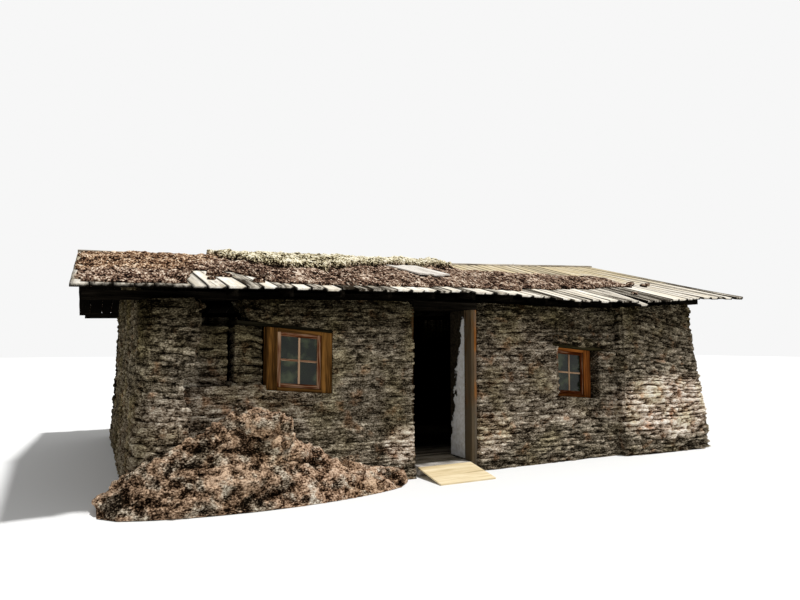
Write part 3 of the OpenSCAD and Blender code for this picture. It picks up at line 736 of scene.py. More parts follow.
# Each has its seed, the height of a course, the depth of a groove and the length of a sod
main_beds = Beds(3, 0.048, 0.014, 0.40, broken=0.3, crumbly=0.8)
bay_beds = Beds(5, 0.056, 0.020, 0.5, broken=0.2, crumbly=1.1, wave=0.035)
west_beds = Beds(11, 0.074, 0.028, 0.22, broken=0.8, crumbly=0.5, wave=0.03)
east_beds = Beds(17, 0.070, 0.028, 0.23, broken=0.45, crumbly=0.9, wave=0.03, dip=east_dip)
stack_beds = Beds(23, 0.090, 0.048, 0.5, broken=0.25, crumbly=0.3, dip=stack_dip)
print("courses are", main_beds.pitch, "to", stack_beds.pitch, "m high")

# %% What broke off beside the hole
CORNER_R = 0.38
WEST_START = -5.0
MAX_TEAR = 0.02
mass_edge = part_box("west_corner_mass")[1].x
hole_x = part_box("wall_over_west_window")[0].x


def full_turn(node):
    """Distance from the front of a corner mass back to the inner face of the wall."""
    return inner_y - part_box(node)[0].y - FOOT_ROOM


def broken_edge(points):
    """The outer skin tore away beside the west mass, which leaves its edge ragged and cut back."""
    x, y, z = points[..., 0], points[..., 1], points[..., 2]
    cut = np.interp(z, (0.9, 1.26, 1.67, 2.1), (-0.10, -0.14, -0.02, 0.0))
    torn = 0.05 * noise(np.column_stack([z.reshape(-1) / 0.07, 0 * z.reshape(-1)]), 61)
    torn = np.minimum(torn.reshape(z.shape), MAX_TEAR) - MAX_TEAR
    near = smoothstep(x, mass_edge - 0.3, mass_edge - 0.02) * smoothstep(-y, 2.6, 2.75)
    moved = points.copy()
    moved[..., 0] += near * (cut + torn)
    return moved


def behind_edge(points):
    """The ledge runs on behind that torn edge."""
    moved = points.copy()
    moved[..., 0] -= 0.17 * (1 - smoothstep(points[..., 0], mass_edge, mass_edge + 0.3))
    return moved


def beside_hole(points):
    """The hole under the eave is wider at its foot, where sods broke off."""
    moved = points.copy()
    low = 1 - smoothstep(points[..., 2], 1.85, 2.2)
    moved[..., 0] += (0.04 + 0.1 * low) * (1 - smoothstep(points[..., 0], hole_x, hole_x + 0.4))
    return moved


# %% Two corner masses and the bays between them
JAMB_TURN = 0.3
front_piece("west_corner_mass", "west_mass_sod", west_beds,
            dict(west_turn=full_turn("west_corner_mass"), west_radius=CORNER_R, east_turn=0.4),
            start=WEST_START, worn=broken_edge)
front_piece("east_corner_mass", "east_mass_sod", east_beds,
            dict(west_turn=0.2, east_turn=full_turn("east_corner_mass"), east_radius=CORNER_R))
front_piece("wall_below_recess", "ledge_sod", main_beds, lumpy_top=0.045, worn=behind_edge)
front_piece("wall_below_west_window", "sod_below_west_window", main_beds)
for place in ("below", "over", "beside"):
    front_piece(f"wall_{place}_east_window", f"sod_{place}_east_window", bay_beds)
front_piece("wall_over_west_window", "sod_over_west_window", main_beds,
            dict(west_turn=JAMB_TURN), jamb=3.0, worn=beside_hole)
front_piece("wall_window_to_door", "sod_window_to_door", main_beds,
            dict(east_turn=JAMB_TURN), jamb=5.0)
front_piece("wall_door_to_window", "sod_door_to_window", bay_beds, dict(west_turn=JAMB_TURN))

# %% The two inner stacks, with the crack between them
CRACK_ROOM = 0.02
STACK_TURN = 0.2
stack_low, stack_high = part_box("recess_stacks")
crack_x = max(v.co.x for v in nodes["recess_stacks"].data.vertices if v.co.x < hole_x - 0.001)
front_piece("recess_stacks", "west_stack_sod", stack_beds, dict(east_turn=STACK_TURN),
            (stack_low.x, crack_x - CRACK_ROOM), lumpy_top=0.02, plain_sides=True)
front_piece("recess_stacks", "east_stack_sod", stack_beds, dict(west_turn=STACK_TURN),
            (hole_x + CRACK_ROOM, stack_high.x), plain_sides=True)
print("the solid's crack is", round(1000 * (hole_x - crack_x)), "mm wide at", round(hole_x, 3))

# %% [markdown]
# ## The ends and the back
# No picture shows the other three sides, so they repeat the sod of the front in plain wide
# courses. Each end wall and the gable above it share their beds, so the courses run on.

# %% End walls and gables
END_STEP = 0.024


def end_wall(side, beds, start):
    low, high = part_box(f"{side}_end_wall")
    west = side == "west"
    face, inner_x = (low.x + FOOT_ROOM, high.x) if west else (high.x - FOOT_ROOM, low.x)
    corners = [(face, low.y, 0), (face, high.y, 0)]
    for node, name in ((f"{side}_end_wall", f"{side}_end_sod"),
                       (f"{side}_gable", f"{side}_gable_sod")):
        piece = sod_wall(node, corners[::-1] if west else corners, beds,
                         lambda x, y: (inner_x, min(max(y, low.y), high.y)), END_STEP, start=start)
        keep(piece, name, sod, "sod", node)


end_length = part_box("west_end_wall")[1].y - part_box("west_end_wall")[0].y
end_wall("west", west_beds, WEST_START - end_length)
end_wall("east", east_beds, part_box("east_end_wall")[1].x)

# %% Back wall
rear_beds = Beds(31, 0.075, 0.026, 0.28, broken=0.7, crumbly=0.5, wave=0.03)
back_low, back_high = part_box("back_wall")
back_face = back_high.y - FOOT_ROOM
back_sod = sod_wall(
    "back_wall", [(back_high.x, back_low.y, 0), (back_high.x, back_face, CORNER_R),
                  (back_low.x, back_face, CORNER_R), (back_low.x, back_low.y, 0)],
    rear_beds, lambda x, y: (min(max(x, -INNER_X), INNER_X), back_low.y), END_STEP)
keep(back_sod, "back_wall_sod", sod, "sod", "back_wall")

# %% [markdown]
# ## The slumped heap
# The outer skin of the recess lies in front of it as a bank of broken sod. Its solid gives
# the form. Remeshed into small voxels it can carry lumps of several sizes, and loose clods
# are set into it, each a squared ball with noise.

# %% A finely meshed copy of a solid
def solid_copy(node, voxel):
    piece = bpy.data.objects.new("copy", nodes[node].data.copy())
    scene.collection.objects.link(piece)
    work_on(piece)
    bpy.ops.object.mode_set(mode="EDIT")
    bpy.ops.mesh.select_all(action="SELECT")
    bpy.ops.mesh.remove_doubles(threshold=0.0001)
    bpy.ops.object.mode_set(mode="OBJECT")
    return remeshed(piece, voxel)


# %% Copies of one shape, laid by turns and sizes
def turned(angles):
    """Rotation matrices for rows of three angles."""
    (cx, cy, cz), (sx, sy, sz) = np.cos(angles).T, np.sin(angles).T
    return np.moveaxis(np.array([
        [cz * cy, cz * sy * sx - sz * cx, cz * sy * cx + sz * sx],
        [sz * cy, sz * sy * sx + cz * cx, sz * sy * cx - cz * sx],
        [-sy, cy * sx, cy * cx]]), 2, 0)


def scattered(shape, places, turns, sizes, seed):
    """One mesh with a copy of a shape at every place, and a tone for each copy."""
    points = points_of(shape)
    faces = [tuple(p.vertices) for p in shape.data.polygons]
    count, each = len(places), len(points)
    laid = np.einsum("nij,npj->npi", turned(turns), points[None] * sizes[:, None, :])
    laid += places[:, None, :]
    mesh = bpy.data.meshes.new("scattered")
    mesh.from_pydata(laid.reshape(-1, 3).tolist(), [],
                     [tuple(v + k * each for v in face) for k in range(count) for face in faces])
    piece = bpy.data.objects.new("scattered", mesh)
    scene.collection.objects.link(piece)
    bpy.data.objects.remove(shape)
    store(piece, "tone", np.repeat(np.random.default_rng(seed).random(count), each))
    return piece


def join(pieces):
    work_on(pieces[0])
    for piece in pieces:
        piece.select_set(True)
    bpy.ops.object.join()
    return pieces[0]


# %% The heap
HEAP_VOXEL = 0.016
BIG_LUMP, SMALL_LUMP = 0.05, 0.016

heap = solid_copy("slumped_sod_heap", HEAP_VOXEL)
heap_at = points_of(heap)
big = rough_noise(heap_at / (0.24, 0.24, 0.14), 41)
small = rough_noise(heap_at / (0.06, 0.06, 0.04), 44)
lumps = (BIG_LUMP * big + SMALL_LUMP * small) * smoothstep(heap_at[:, 2], 0.0, 0.06)
heap_at += normals_of(heap) * lumps[:, None]
heap_at = np.maximum(heap_at, (-np.inf, cad_box[0][1] + INSET, 0))
move_points(heap, heap_at)
store(heap, "relief", np.clip(0.5 + 0.3 * big + 0.45 * small, 0, 1))
store(heap, "tone", 0.5 + 0.4 * noise(heap_at / 0.09, 48))
print("the bank has", len(heap.data.polygons), "faces")


# %% Clods on the heap
def round_clod(subdivisions, seed):
    """A squared ball with noise, one metre in radius."""
    piece = added(bpy.ops.mesh.primitive_ico_sphere_add, subdivisions=subdivisions, radius=1)
    ball = points_of(piece)
    ball = np.sign(ball) * np.abs(ball) ** 0.6
    move_points(piece, ball * (1 + 0.16 * rough_noise(ball * 1.3, seed))[:, None])
    return piece


CLODS = 64
LOWEST_LIE = 0.02

clod_rng = np.random.default_rng(52)
heap_low, heap_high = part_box("slumped_sod_heap")
clod_x = clod_rng.uniform(heap_low.x + 0.1, heap_high.x - 0.05, CLODS)
clod_y = heap_high.y - clod_rng.uniform(0.03, 0.6, CLODS) ** 0.9
lie = top_of(solid_of("slumped_sod_heap"), np.column_stack([clod_x, clod_y]))
clod_size = clod_rng.uniform(0.025, 0.075, (CLODS, 1))
clod_size = clod_size * clod_rng.uniform((1.0, 0.7, 0.45), (1.6, 1.2, 0.8), (CLODS, 3))
clod_turn = clod_rng.uniform((-0.5, -0.4, 0), (0.5, 0.4, 6.3), (CLODS, 3))
clod_place = np.column_stack([clod_x, clod_y, lie + 0.35 * clod_size[:, 2]])
lying = lie > LOWEST_LIE
clods = scattered(
    round_clod(3, 54), clod_place[lying], clod_turn[lying], clod_size[lying], 57)
print(int(lying.sum()), "clods lie on the heap")

# %% The largest clod, which came down last and lies on top
TOP_PLACE = (-2.98, -3.06, 0.78)
TOP_TURN = (0.1, 0.2, 0.2)
TOP_SIZE = (0.27, 0.17, 0.13)

top_clod = scattered(round_clod(5, 63), *np.array([[TOP_PLACE], [TOP_TURN], [TOP_SIZE]]), 64)
top_at = points_of(top_clod)
torn = 0.05 * noise(top_at / 0.13, 65) + 0.03 * rough_noise(top_at / 0.05, 66)
move_points(top_clod, top_at + normals_of(top_clod) * torn[:, None])
clods = join([clods, top_clod])
clod_at = np.maximum(points_of(clods), (-np.inf, cad_box[0][1], 0.001))
move_points(clods, clod_at)
store(clods, "relief", np.clip(0.5 + 0.4 * rough_noise(clod_at / 0.045, 58), 0, 1))

# %% The finish of the heap, with painted sunlight towards its east end and on its top, so its west end is darker
fallen = sod_finish("fallen_sod", olive=0.2, rust=0.5, fibre=(40, 40, 60), coarse=1.4,
                    rust_from=0.36)
heap = join([heap, clods])
heap_at = points_of(heap)
# Painted sunlight on the heap: more towards its east end and on its top
painted_sun_east = smoothstep(heap_at[:, 0] + 0.5 * noise(heap_at / 0.5, 59), -3.1, -2.2)
store(heap, "bleached", 0.18 + 0.27 * painted_sun_east + 0.05 * smoothstep(heap_at[:, 2], 0.62, 0.8))
keep(heap, "slumped_heap", fallen, "fallen_sod", "slumped_sod_heap")

# %% [markdown]
# ## Boards
# Every sawn board starts as a flat grid, is given thickness and worn arrises by modifiers,
# and keeps its own grain: a place stored before the board is laid, so that the figure runs
# along each board whichever way it lies.

# %% A sawn board
board_rng = np.random.default_rng(71)
X, Y, Z = np.eye(3)


def board(length, width, thickness, wear=0.004, cuts=6, across_cuts=2, tone=None):
    """A board along x, with its width along y and its middle at the origin."""
    piece = added(bpy.ops.mesh.primitive_grid_add, x_subdivisions=cuts,
                  y_subdivisions=across_cuts, size=1, calc_uvs=False)
    resize(length, width, 1)
    solidify = piece.modifiers.new("thickness", "SOLIDIFY")
    solidify.thickness = thickness
    solidify.offset = 0
    bevel = piece.modifiers.new("wear", "BEVEL")
    bevel.width = min(wear, 0.3 * thickness)
    bevel.segments = 1
    bevel.limit_method = "ANGLE"
    for modifier in ("thickness", "wear"):
        bpy.ops.object.modifier_apply(modifier=modifier)
    local = points_of(piece)
    grain = piece.data.attributes.new("grain", "FLOAT_VECTOR", "POINT")
    shifted = local + board_rng.uniform(-20, 20, 3)
    grain.data.foreach_set("vector", shifted.reshape(-1).astype(np.float32))
    store(piece, "tone", np.full(len(local), board_rng.random() if tone is None else tone))
    return piece


def lay(piece, middle, along=X, across=Y, wobble=0.0):
    """Turns a board so that it runs along one direction, and moves it to its place."""
    local = points_of(piece)
    seed = int(board_rng.integers(1000))
    sway = np.column_stack([local[:, 0] / 0.3, local[:, 1] * 0])
    local[:, 1] += wobble * noise(sway, seed)
    local[:, 2] += wobble * noise(sway, seed + 1)
    move_points(piece, local @ np.array([along, across, np.cross(along, across)]) + middle)
    return piece


# %% Finishes for wood
WOOD_ROUGHNESS = 0.85
# Near black, for dirt and for painted shade under the roof and in joints
SHADE_AND_DIRT = "#0b0907"


def wood_finish(name, dark, body, light, follow="grain", grey=None, coarse=1.0, varied=0.35):
    """Figure along x of the stored grain, or along one of the object's own axes.

    Where a board stores that it is worn it goes grey, and where it stores dirt and painted shade,
    under the roof or in a joint, it goes dark."""
    wood = Finish(name, WOOD_ROUGHNESS, follow if follow == "grain" else None)
    run = "xyz".index(follow) if follow in "xyz" else 0

    def along(slow, quick):
        return tuple(slow if axis == run else quick for axis in range(3))

    figure = wood.noise(1.0, 3.0, stretch=along(0.9 * coarse, 22 * coarse))
    fibre = wood.noise(1.0, 4.0, stretch=along(5 * coarse, 130 * coarse))
    stain = wood.noise(4.0, 3.0, stretch=along(0.6, 1.5))
    tone = wood.stored("tone")
    height = ((figure - 0.5) * 1.5 + (fibre - 0.5) * 1.2 + (stain - 0.5) * 0.6
              + (tone - 0.5) * varied + 0.5).clamp()
    colour = wood.ramp(height, (0.05, dark), (0.45, body), (0.95, light))
    if grey:
        greyed = wood.range(stain + (tone - 0.5) * 0.3, 0.42, 0.62) * 0.75 + wood.stored("worn")
        colour = wood.mix(greyed.clamp(), colour, grey)
    if follow == "grain":
        # Dirt and painted shade turn the board near black
        dirt_and_shade = wood.range(wood.stored("shut_in") + (fibre - 0.5) * 0.5, 0.45, 0.95)
        colour = wood.mix(dirt_and_shade, colour, SHADE_AND_DIRT)
    wood.colour(colour)
    wood.bump(figure * 0.4 + fibre * 0.6, 0.006, 0.9)
    return wood


bare_plank = wood_finish("bleached_plank", "#332c23", "#d2c9b9", "#fffaf0", grey="#cdbd9b",
                         varied=0.9)
ridge_plank = wood_finish("ridge_plank", "#5a5044", "#c4bbac", "#efe8da", follow="x")
frame_wood = wood_finish("stained_boards", "#160d05", "#4f3518", "#8f6431")
red_boards = wood_finish("red_brown_boards", "#2a1408", "#824a20", "#bd7434")
sash_wood = wood_finish("red_brown_sash", "#1a0903", "#57290e", "#b8987a")
old_timber = wood_finish("grey_timber", "#78726a", "#cbc4ba", "#ece6dc")
# Near black timbers under the roof: painted shade
painted_shade_timber = ("#050403", "#15120e", "#2e2922")
plate_timber = wood_finish("plate_timber", *painted_shade_timber, follow="x")
rafter_timber = wood_finish("rafter_timber", *painted_shade_timber, follow="y")
floor_wood = wood_finish("floor_boards", "#4a4236", "#a09684", "#cfc6b4", follow="x")
# The boards go dark further into the room, as painted shade
further_in = floor_wood.range(floor_wood.axis("Y"), -2.2, -1.3)
floor_wood.colour(floor_wood.mix(further_in, floor_wood.base, "#15120d"))
print("wood in the colours of", bare_plank.material.name, "to", floor_wood.material.name)

# %% [markdown]
# ## The plank roof
# Sawn planks run from the ridge down to each eave. They were never trimmed to a line, so
# their ends step in and out, and towards the east they fan out to follow the raking edge.
# The deck solid gives the slope: the heights along it at two places give all the rest.

# %% Slope of a deck
NEAR_RIDGE, NEAR_EAVE = 0.3, 3.0


def slope_of(node, side):
    """A function from x and y to the height of the top of a deck."""
    solid = solid_of(node)
    low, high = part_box(node)
    x = np.arange(low.x + INSET, high.x, 0.02)
    lines = []
    for reach in (NEAR_RIDGE, NEAR_EAVE):
        places = np.column_stack([x, np.full(len(x), side * reach)])
        found = top_of(solid, places, high.z + 1, np.nan)
        seen = ~np.isnan(found)
        lines.append((x[seen], found[seen], reach))
    (ax, az, a), (bx, bz, b) = lines

    def top(px, py):
        near, far = np.interp(px, ax, az), np.interp(px, bx, bz)
        return near + (far - near) * (np.abs(py) - a) / (b - a)
    return top


front_top = slope_of("front_roof_deck", -1)
back_top = slope_of("back_roof_deck", 1)
print("deck at the door's eave", round(float(front_top(-0.6, -3.1)), 3), "m")

# %% Planks of both slopes
DECK_T = 0.038
PLANK_L = 3.2
STEPS_BACK = (0.0, 0.012, 0.03, 0.05, 0.075)
STEP_CHANCES = (0.3, 0.25, 0.2, 0.15, 0.1)
SPLIT_AT = 2.68
BARE_FROM = 0.5
DARK_ENDS_TO = -3.65
RAKE_SKEW = 0.34
FAN_LENGTH = 2.6
roof_low, roof_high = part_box("front_roof_deck")
plank_rng = np.random.default_rng(83)


def fanned(x):
    """How far a plank's upper end is skewed, to follow the raking edge of the roof."""
    return RAKE_SKEW * smoothstep(x, roof_high.x - FAN_LENGTH, roof_high.x)


def planks(side, top):
    """Lays planks edge to edge along one slope: side is -1 for the front and 1 for the back."""
    laid, x = [], roof_low.x
    while x < roof_high.x - 0.03:
        width = min(plank_rng.uniform(0.15, 0.205), roof_high.x - x)
        reach = abs(roof_low.y) - plank_rng.choice(STEPS_BACK, p=STEP_CHANCES)
        thickness = plank_rng.uniform(0.032, DECK_T)
        curl = plank_rng.uniform(-0.004, 0.016)
        # One plank has split, and its tip hangs
        curl -= 0.045 * (side < 0 and x < SPLIT_AT < x + width)
        ridge_gap = plank_rng.uniform(0.002, 0.02)
        gap = plank_rng.uniform(*((0.006, 0.016) if x < BARE_FROM else (0.012, 0.034)))
        piece = board(PLANK_L, width - gap, thickness, wear=0.003, cuts=9, across_cuts=4)
        local = points_of(piece)
        share = local[:, 0] / PLANK_L + 0.5
        # The ends at the west lie in the dirt that the turf above them sheds, and in painted shade
        dirt_and_shade = 0.6 * (side < 0 and x < DARK_ENDS_TO)
        # Painted shade along the long edges, in the gaps between planks
        near_edge = 0.8 * (np.abs(local[:, 1]) > 0.45 * (width - gap))
        # Painted shade on the underside of each plank
        store(piece, "shut_in", np.where(local[:, 2] < 0, 1.0, np.maximum(near_edge, dirt_and_shade)))
        store(piece, "worn", 0.7 * smoothstep(-share, -0.6, -0.1) * (x > BARE_FROM)
              - 0.4 * smoothstep(share, 0.55, 0.7))
        narrow = 1 - (1 - share) * (fanned(x + width) - fanned(x)) / width
        edge = 0.004 * noise(np.column_stack([share * 12, local[:, 1] * 0 + x]), 84)
        px = x + width / 2 - fanned(x) * (1 - share) - side * local[:, 1] * narrow + edge
        y = side * (ridge_gap + share * (reach - ridge_gap))
        z = top(px, y) - DECK_T + thickness / 2 + local[:, 2] + curl * smoothstep(share, 0.8, 1.0)
        move_points(piece, np.column_stack([px, y, z]))
        laid.append(piece)
        x += width
    return join(laid), len(laid)


for side, node, top in ((-1, "front_roof_deck", front_top), (1, "back_roof_deck", back_top)):
    roof_planks, count = planks(side, top)
    print(node, "is laid with", count, "planks")
    keep(roof_planks, node.replace("deck", "planks"), bare_plank, "deck_plank", node)

# %% [markdown]
# ## Turf on the roof
# Turf was laid on the planks to shed rain. It has dried and worn away in patches: rust-brown
# at the west, mossy and olive in the middle. Each patch is a remeshed copy of its solid with
# a ragged outline and thick tussocks. A few clods have rolled off, and three old boards
# cover a bare patch.

# %% Finish of the turf
RUST = ((0.0, "#150e0a"), (0.25, "#4a3326"), (0.5, "#947256"), (0.7, "#c0a080"), (1.0, "#eedcc2"))
UMBER = ((0.0, "#0d0a08"), (0.25, "#3f2d24"), (0.5, "#7f6453"), (0.7, "#ad937c"), (1.0, "#e9dac6"))
MOSS = ((0.0, "#17110a"), (0.18, "#5c4f36"), (0.38, "#bcae88"), (0.58, "#e6dcba"), (1.0, "#fffaea"))

# Rust-brown by the ridge, darker further down, and olive where moss grew. The fibres lie
# down the slope, so that they keep their contrast at a flat view
turf = Finish("dry_turf", roughness=0.95)
fibres = turf.noise(1.0, 5.0, stretch=(60, 12, 60))
grains = turf.cells(40.0, (1.0, 0.3, 1.0))
clumps = turf.noise(1.0, 4.0, stretch=(11, 5, 11))
height = (turf.stored("relief") + (fibres - 0.5) * 2.6 + (0.36 - grains) * 0.9
          + (clumps - 0.5) * 1.3 + 0.02).clamp()
brown = turf.mix(turf.stored("low"), turf.ramp(height, *RUST), turf.ramp(height, *UMBER))
turf.colour(turf.mix(turf.stored("moss"), brown, turf.ramp(height, *MOSS)))
turf.bump(fibres * 0.7 + clumps * 0.3 - grains * 0.3, 0.025, 1.0)
print(turf.material.name, "has", len(turf.tree.nodes), "nodes")

# %% A patch of turf
EDGE_BIN = 0.1
RAGGED = 0.05
MOSS_RAISED = 0.075
THINNEST = 0.0004
NO_MOSS = ((0,), (-9,))


def lower_edge(at, reach):
    """Moves the lower edge of a patch on the front slope to where reach gives it along x."""
    x, y = at[:, 0], np.abs(at[:, 1])
    bins = np.round((x - x.min()) / EDGE_BIN).astype(int)
    own = np.array([y[bins == k].max() for k in range(bins.max() + 1)])
    own = np.interp(x, x.min() + EDGE_BIN * np.arange(len(own)), own)
    return -(np.minimum(y, 1) + np.maximum(y - 1, 0) * (np.interp(x, *reach) - 1) / (own - 1))


def turf_patch(node, top, slot, seed, voxel, tussock, low_from, moss_reach=NO_MOSS, reach=None):
    """Breaks a turf solid into mounds, crumbs and cracks.

    It is darker beyond a distance low_from from the ridge, and up to the distance moss_reach it
    is moss, which stands raised above the rest. Each gives that distance along x."""
    piece = solid_copy(node, voxel)
    at = points_of(piece)
    up = at[:, 2] - top(at[:, 0], at[:, 1])
    if reach:
        at[:, 1] = lower_edge(at, reach)
    for axis in (0, 1):
        at[:, axis] += RAGGED * rough_noise(at[:, :2] / 0.16, seed + 10 * axis)
    upper = smoothstep(up, 0.006, 0.02)
    mounds = rough_noise(at[:, :2] / (0.13, 0.26), seed + 3)
    crumbs = rough_noise(at / (0.04, 0.09, 0.04), seed + 7)
    crack = 1 - smoothstep(np.abs(noise(at[:, :2] / (0.34, 0.3), seed + 5)), 0.0, 0.12)
    down = np.abs(at[:, 1]) + 0.22 * rough_noise(at[:, :2] / (0.5, 0.3), seed + 9)
    edge = down - np.interp(at[:, 0], *moss_reach)
    moss = smoothstep(-edge, -0.03, 0.03)
    bare_ridge = smoothstep(-np.abs(at[:, 1]), -0.4, -0.15) * smoothstep(-at[:, 0], 2.9, 3.4)
    tufts = tussock * (0.3 + 0.6 * mounds + 0.5 * crumbs) * (1 + 0.5 * moss)
    lift = upper * (tufts + MOSS_RAISED * moss - up * (0.5 * crack + 0.7 * bare_ridge))
    up = np.maximum(up + np.maximum(lift, -0.8 * up * upper), THINNEST)
    at[:, 2] = top(at[:, 0], at[:, 1]) + up
    move_points(piece, at)
    # Painted shade along the foot of the raised moss edge
    undercut = 0.5 * np.exp(-((edge - 0.05) / 0.06) ** 2)
    relief = 0.5 + 0.2 * mounds + 0.3 * crumbs - 0.3 * crack - undercut
    store(piece, "relief", np.clip(relief, 0, 1))
    store(piece, "low", smoothstep(down - np.interp(at[:, 0], *low_from), -0.3, 0.3))
    store(piece, "moss", moss)
    bpy.ops.object.shade_smooth()
    keep(piece, node + "_sod", turf, slot, node)
    print(node, "is at most", round(1000 * float(up.max())), "mm thick")


# %% The four patches, with distances from the ridge along x
WEST_REACH = ((-4.9, -3.8, -3.62, -3.3, -3.1, -2.95, -2.8, -1.8),
              (3.12, 3.12, 2.0, 1.88, 2.1, 2.45, 2.98, 2.98))
MIDDLE_REACH = ((-1.9, 0.8), (2.98, 2.82))
MOSS_REACH = ((-3.25, -3.0, -2.6, -2.1, -1.5, -0.9, 0.8), (-1.0, 1.3, 1.7, 1.9, 1.6, 1.25, 1.0))
turf_patch("roof_turf_west", front_top, "roof_turf", seed=101, voxel=0.021, tussock=0.025,
           low_from=((-3.9, -3.1), (2.4, 1.0)), moss_reach=MOSS_REACH, reach=WEST_REACH)
turf_patch("roof_turf_middle", front_top, "dry_moss", seed=121, voxel=0.021, tussock=0.025,
           low_from=((0,), (1.0,)), moss_reach=MOSS_REACH, reach=MIDDLE_REACH)
turf_patch("roof_turf_east", front_top, "roof_turf", seed=141, voxel=0.020, tussock=0.02,
           low_from=((0,), (1.2,)))
turf_patch("back_roof_turf", back_top, "roof_turf", seed=161, voxel=0.037, tussock=0.03,
           low_from=((-2, 2), (2.2, 1.2)))

# %% Loose clods on the roof: their places in the plan and their sizes
LOOSE = ((-3.40, -2.35, 0.075), (-3.28, -2.42, 0.045), (-3.02, -2.85, 0.05), (-3.5, -2.7, 0.035),
         (3.60, -2.05, 0.06), (3.75, -2.2, 0.05), (3.95, -2.1, 0.04), (2.9, -2.75, 0.04))

x, y, size = np.array(LOOSE).T
loose_clods = scattered(
    round_clod(3, 171), np.column_stack([x, y, front_top(x, y) + 0.3 * size]),
    np.outer(x, (0, 0, 2)), np.outer(size, (1.2, 1.0, 0.6)), 172)
crumbs = rough_noise(points_of(loose_clods) / 0.03, 173)
store(loose_clods, "relief", np.clip(0.5 + 0.4 * crumbs, 0, 1))
store(loose_clods, "low", np.ones(len(crumbs)))
keep(loose_clods, "loose_roof_clods", turf, "roof_turf")

# %% Three old boards over a bare patch: the middle and length of each
PATCHES = ((-0.62, 1.15), (-0.44, 1.3), (-0.26, 1.0))
PATCH_W, PATCH_T = 0.165, 0.022
PATCH_Y = -1.75
PATCH_RISE = 0.095

patch_boards = []
for middle, length in PATCHES:
    plank = board(length, PATCH_W, PATCH_T, wear=0.002, cuts=8)
    local = points_of(plank)
    x, y = middle + local[:, 1], PATCH_Y - local[:, 0]
    move_points(plank, np.column_stack([x, y, front_top(x, y) + PATCH_RISE + local[:, 2]]))
    patch_boards.append(plank)
keep(join(patch_boards), "roof_patch_boards", old_timber, "deck_plank")

# %% [markdown]
# ## Timbers and windows
# The rafters, plates and ridge beam keep their solids and get a figured timber finish, near
# black as painted shade under the roof. The window frames are plain boards nailed round a
# four-pane sash, and the whole window has racked with the settling sod: its sides are upright
# while its head and sill slope. So each window is laid out square and then sheared. Its glass is
# dusty and painted dark as the shade of the room behind, and lets little light in.

# %% Timbers that keep their solids
shaded_wood = wood_finish("shaded_lintel", "#0b0a06", "#1f1c13", "#3a3626", follow="x")
mossy_wood = wood_finish("mossy_lintel", "#100d08", "#38321f", "#6d6a4c", follow="x")
for node, finish in (("front_wall_plate", plate_timber), ("back_wall_plate", plate_timber),
                     ("ridge_beam", plate_timber), ("rafters", rafter_timber),
                     ("ridge_board", ridge_plank), ("floor_sleepers", plate_timber),
                     ("door_head", plate_timber), ("west_window_lintel", shaded_wood),
                     ("east_window_lintel", mossy_wood), ("floor_boards", floor_wood)):
    dress(nodes[node], finish)
    print(node, "is dressed in", finish.material.name)

# %% Boards that face the front
WOBBLE = 0.0015
RACK = math.tan(math.radians(5))


def upright_board(x0, x1, y0, y1, z0, z1, **looks):
    """A standing board that faces the front, its grain running up."""
    piece = board(z1 - z0, x1 - x0, y1 - y0, **looks)
    return lay(piece, ((x0 + x1) / 2, (y0 + y1) / 2, (z0 + z1) / 2), Z, X, WOBBLE)


def level_board(x0, x1, y0, y1, z0, z1, **looks):
    """A board on edge that faces the front, its grain running sideways."""
    piece = board(x1 - x0, z1 - z0, y1 - y0, **looks)
    return lay(piece, ((x0 + x1) / 2, (y0 + y1) / 2, (z0 + z1) / 2), X, Z, WOBBLE)


def racked(piece, middle_x):
    at = points_of(piece)
    at[:, 2] -= (at[:, 0] - middle_x) * RACK
    move_points(piece, at)
    return piece


# %% Racked windows
SASH_W, SASH_H = 0.520, 0.620
FRAME_H = 0.700
RAIL, BAR = 0.045, 0.024
PLAY = 0.001
# A high tone makes the thin bars paler than the rails
BAR_LOOKS = {"tone": 1.5, "wear": 0.006}


def window(side, frame_finish):
    low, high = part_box(f"{side}_window_frame")
    cx, cz = (low.x + high.x) / 2, (low.z + high.z) / 2
    half_w, half_h = (high.x - low.x) / 2, FRAME_H / 2
    a, b = SASH_W / 2 + PLAY, SASH_H / 2 + PLAY
    y0, y1 = low.y, high.y
    # The head, sill and bars lie a few millimetres before or behind the upright sides
    frame = join([
        upright_board(cx - half_w, cx - a, y0, y1, cz - half_h, cz + half_h),
        upright_board(cx + a, cx + half_w, y0, y1, cz - half_h, cz + half_h),
        level_board(cx - a, cx + a, y0 + 0.006, y1, cz + b, cz + half_h),
        level_board(cx - a, cx + a, y0 - 0.004, y1, cz - half_h, cz - b)])
    keep(racked(frame, cx), f"{side}_window_boards", frame_finish, "stained_wood",
         f"{side}_window_frame")
    low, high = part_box(f"{side}_window_sash")
    y0, y1 = low.y, high.y
    w, h = SASH_W / 2, SASH_H / 2
    a, b = w - RAIL, h - RAIL
    sash = join([
        upright_board(cx - w, cx - a, y0, y1, cz - h, cz + h),
        upright_board(cx + a, cx + w, y0, y1, cz - h, cz + h),
        level_board(cx - a, cx + a, y0 + 0.002, y1, cz + b, cz + h),
        level_board(cx - a, cx + a, y0 + 0.002, y1, cz - h, cz - b),
        upright_board(cx - BAR / 2, cx + BAR / 2, y0 + 0.006, y1 - 0.006, cz - b, cz + b,
                      **BAR_LOOKS),
        level_board(cx - a, cx + a, y0 + 0.008, y1 - 0.008, cz - BAR / 2, cz + BAR / 2,
                    **BAR_LOOKS)])
    keep(racked(sash, cx), f"{side}_window_rails", sash_wood, "stained_wood",
         f"{side}_window_sash")


window("west", frame_wood)
window("east", red_boards)

# %% Old window glass
glass = Finish("dusty_shaded_glass", roughness=0.12)
dust_and_shade = glass.noise(5.0, 4.0)
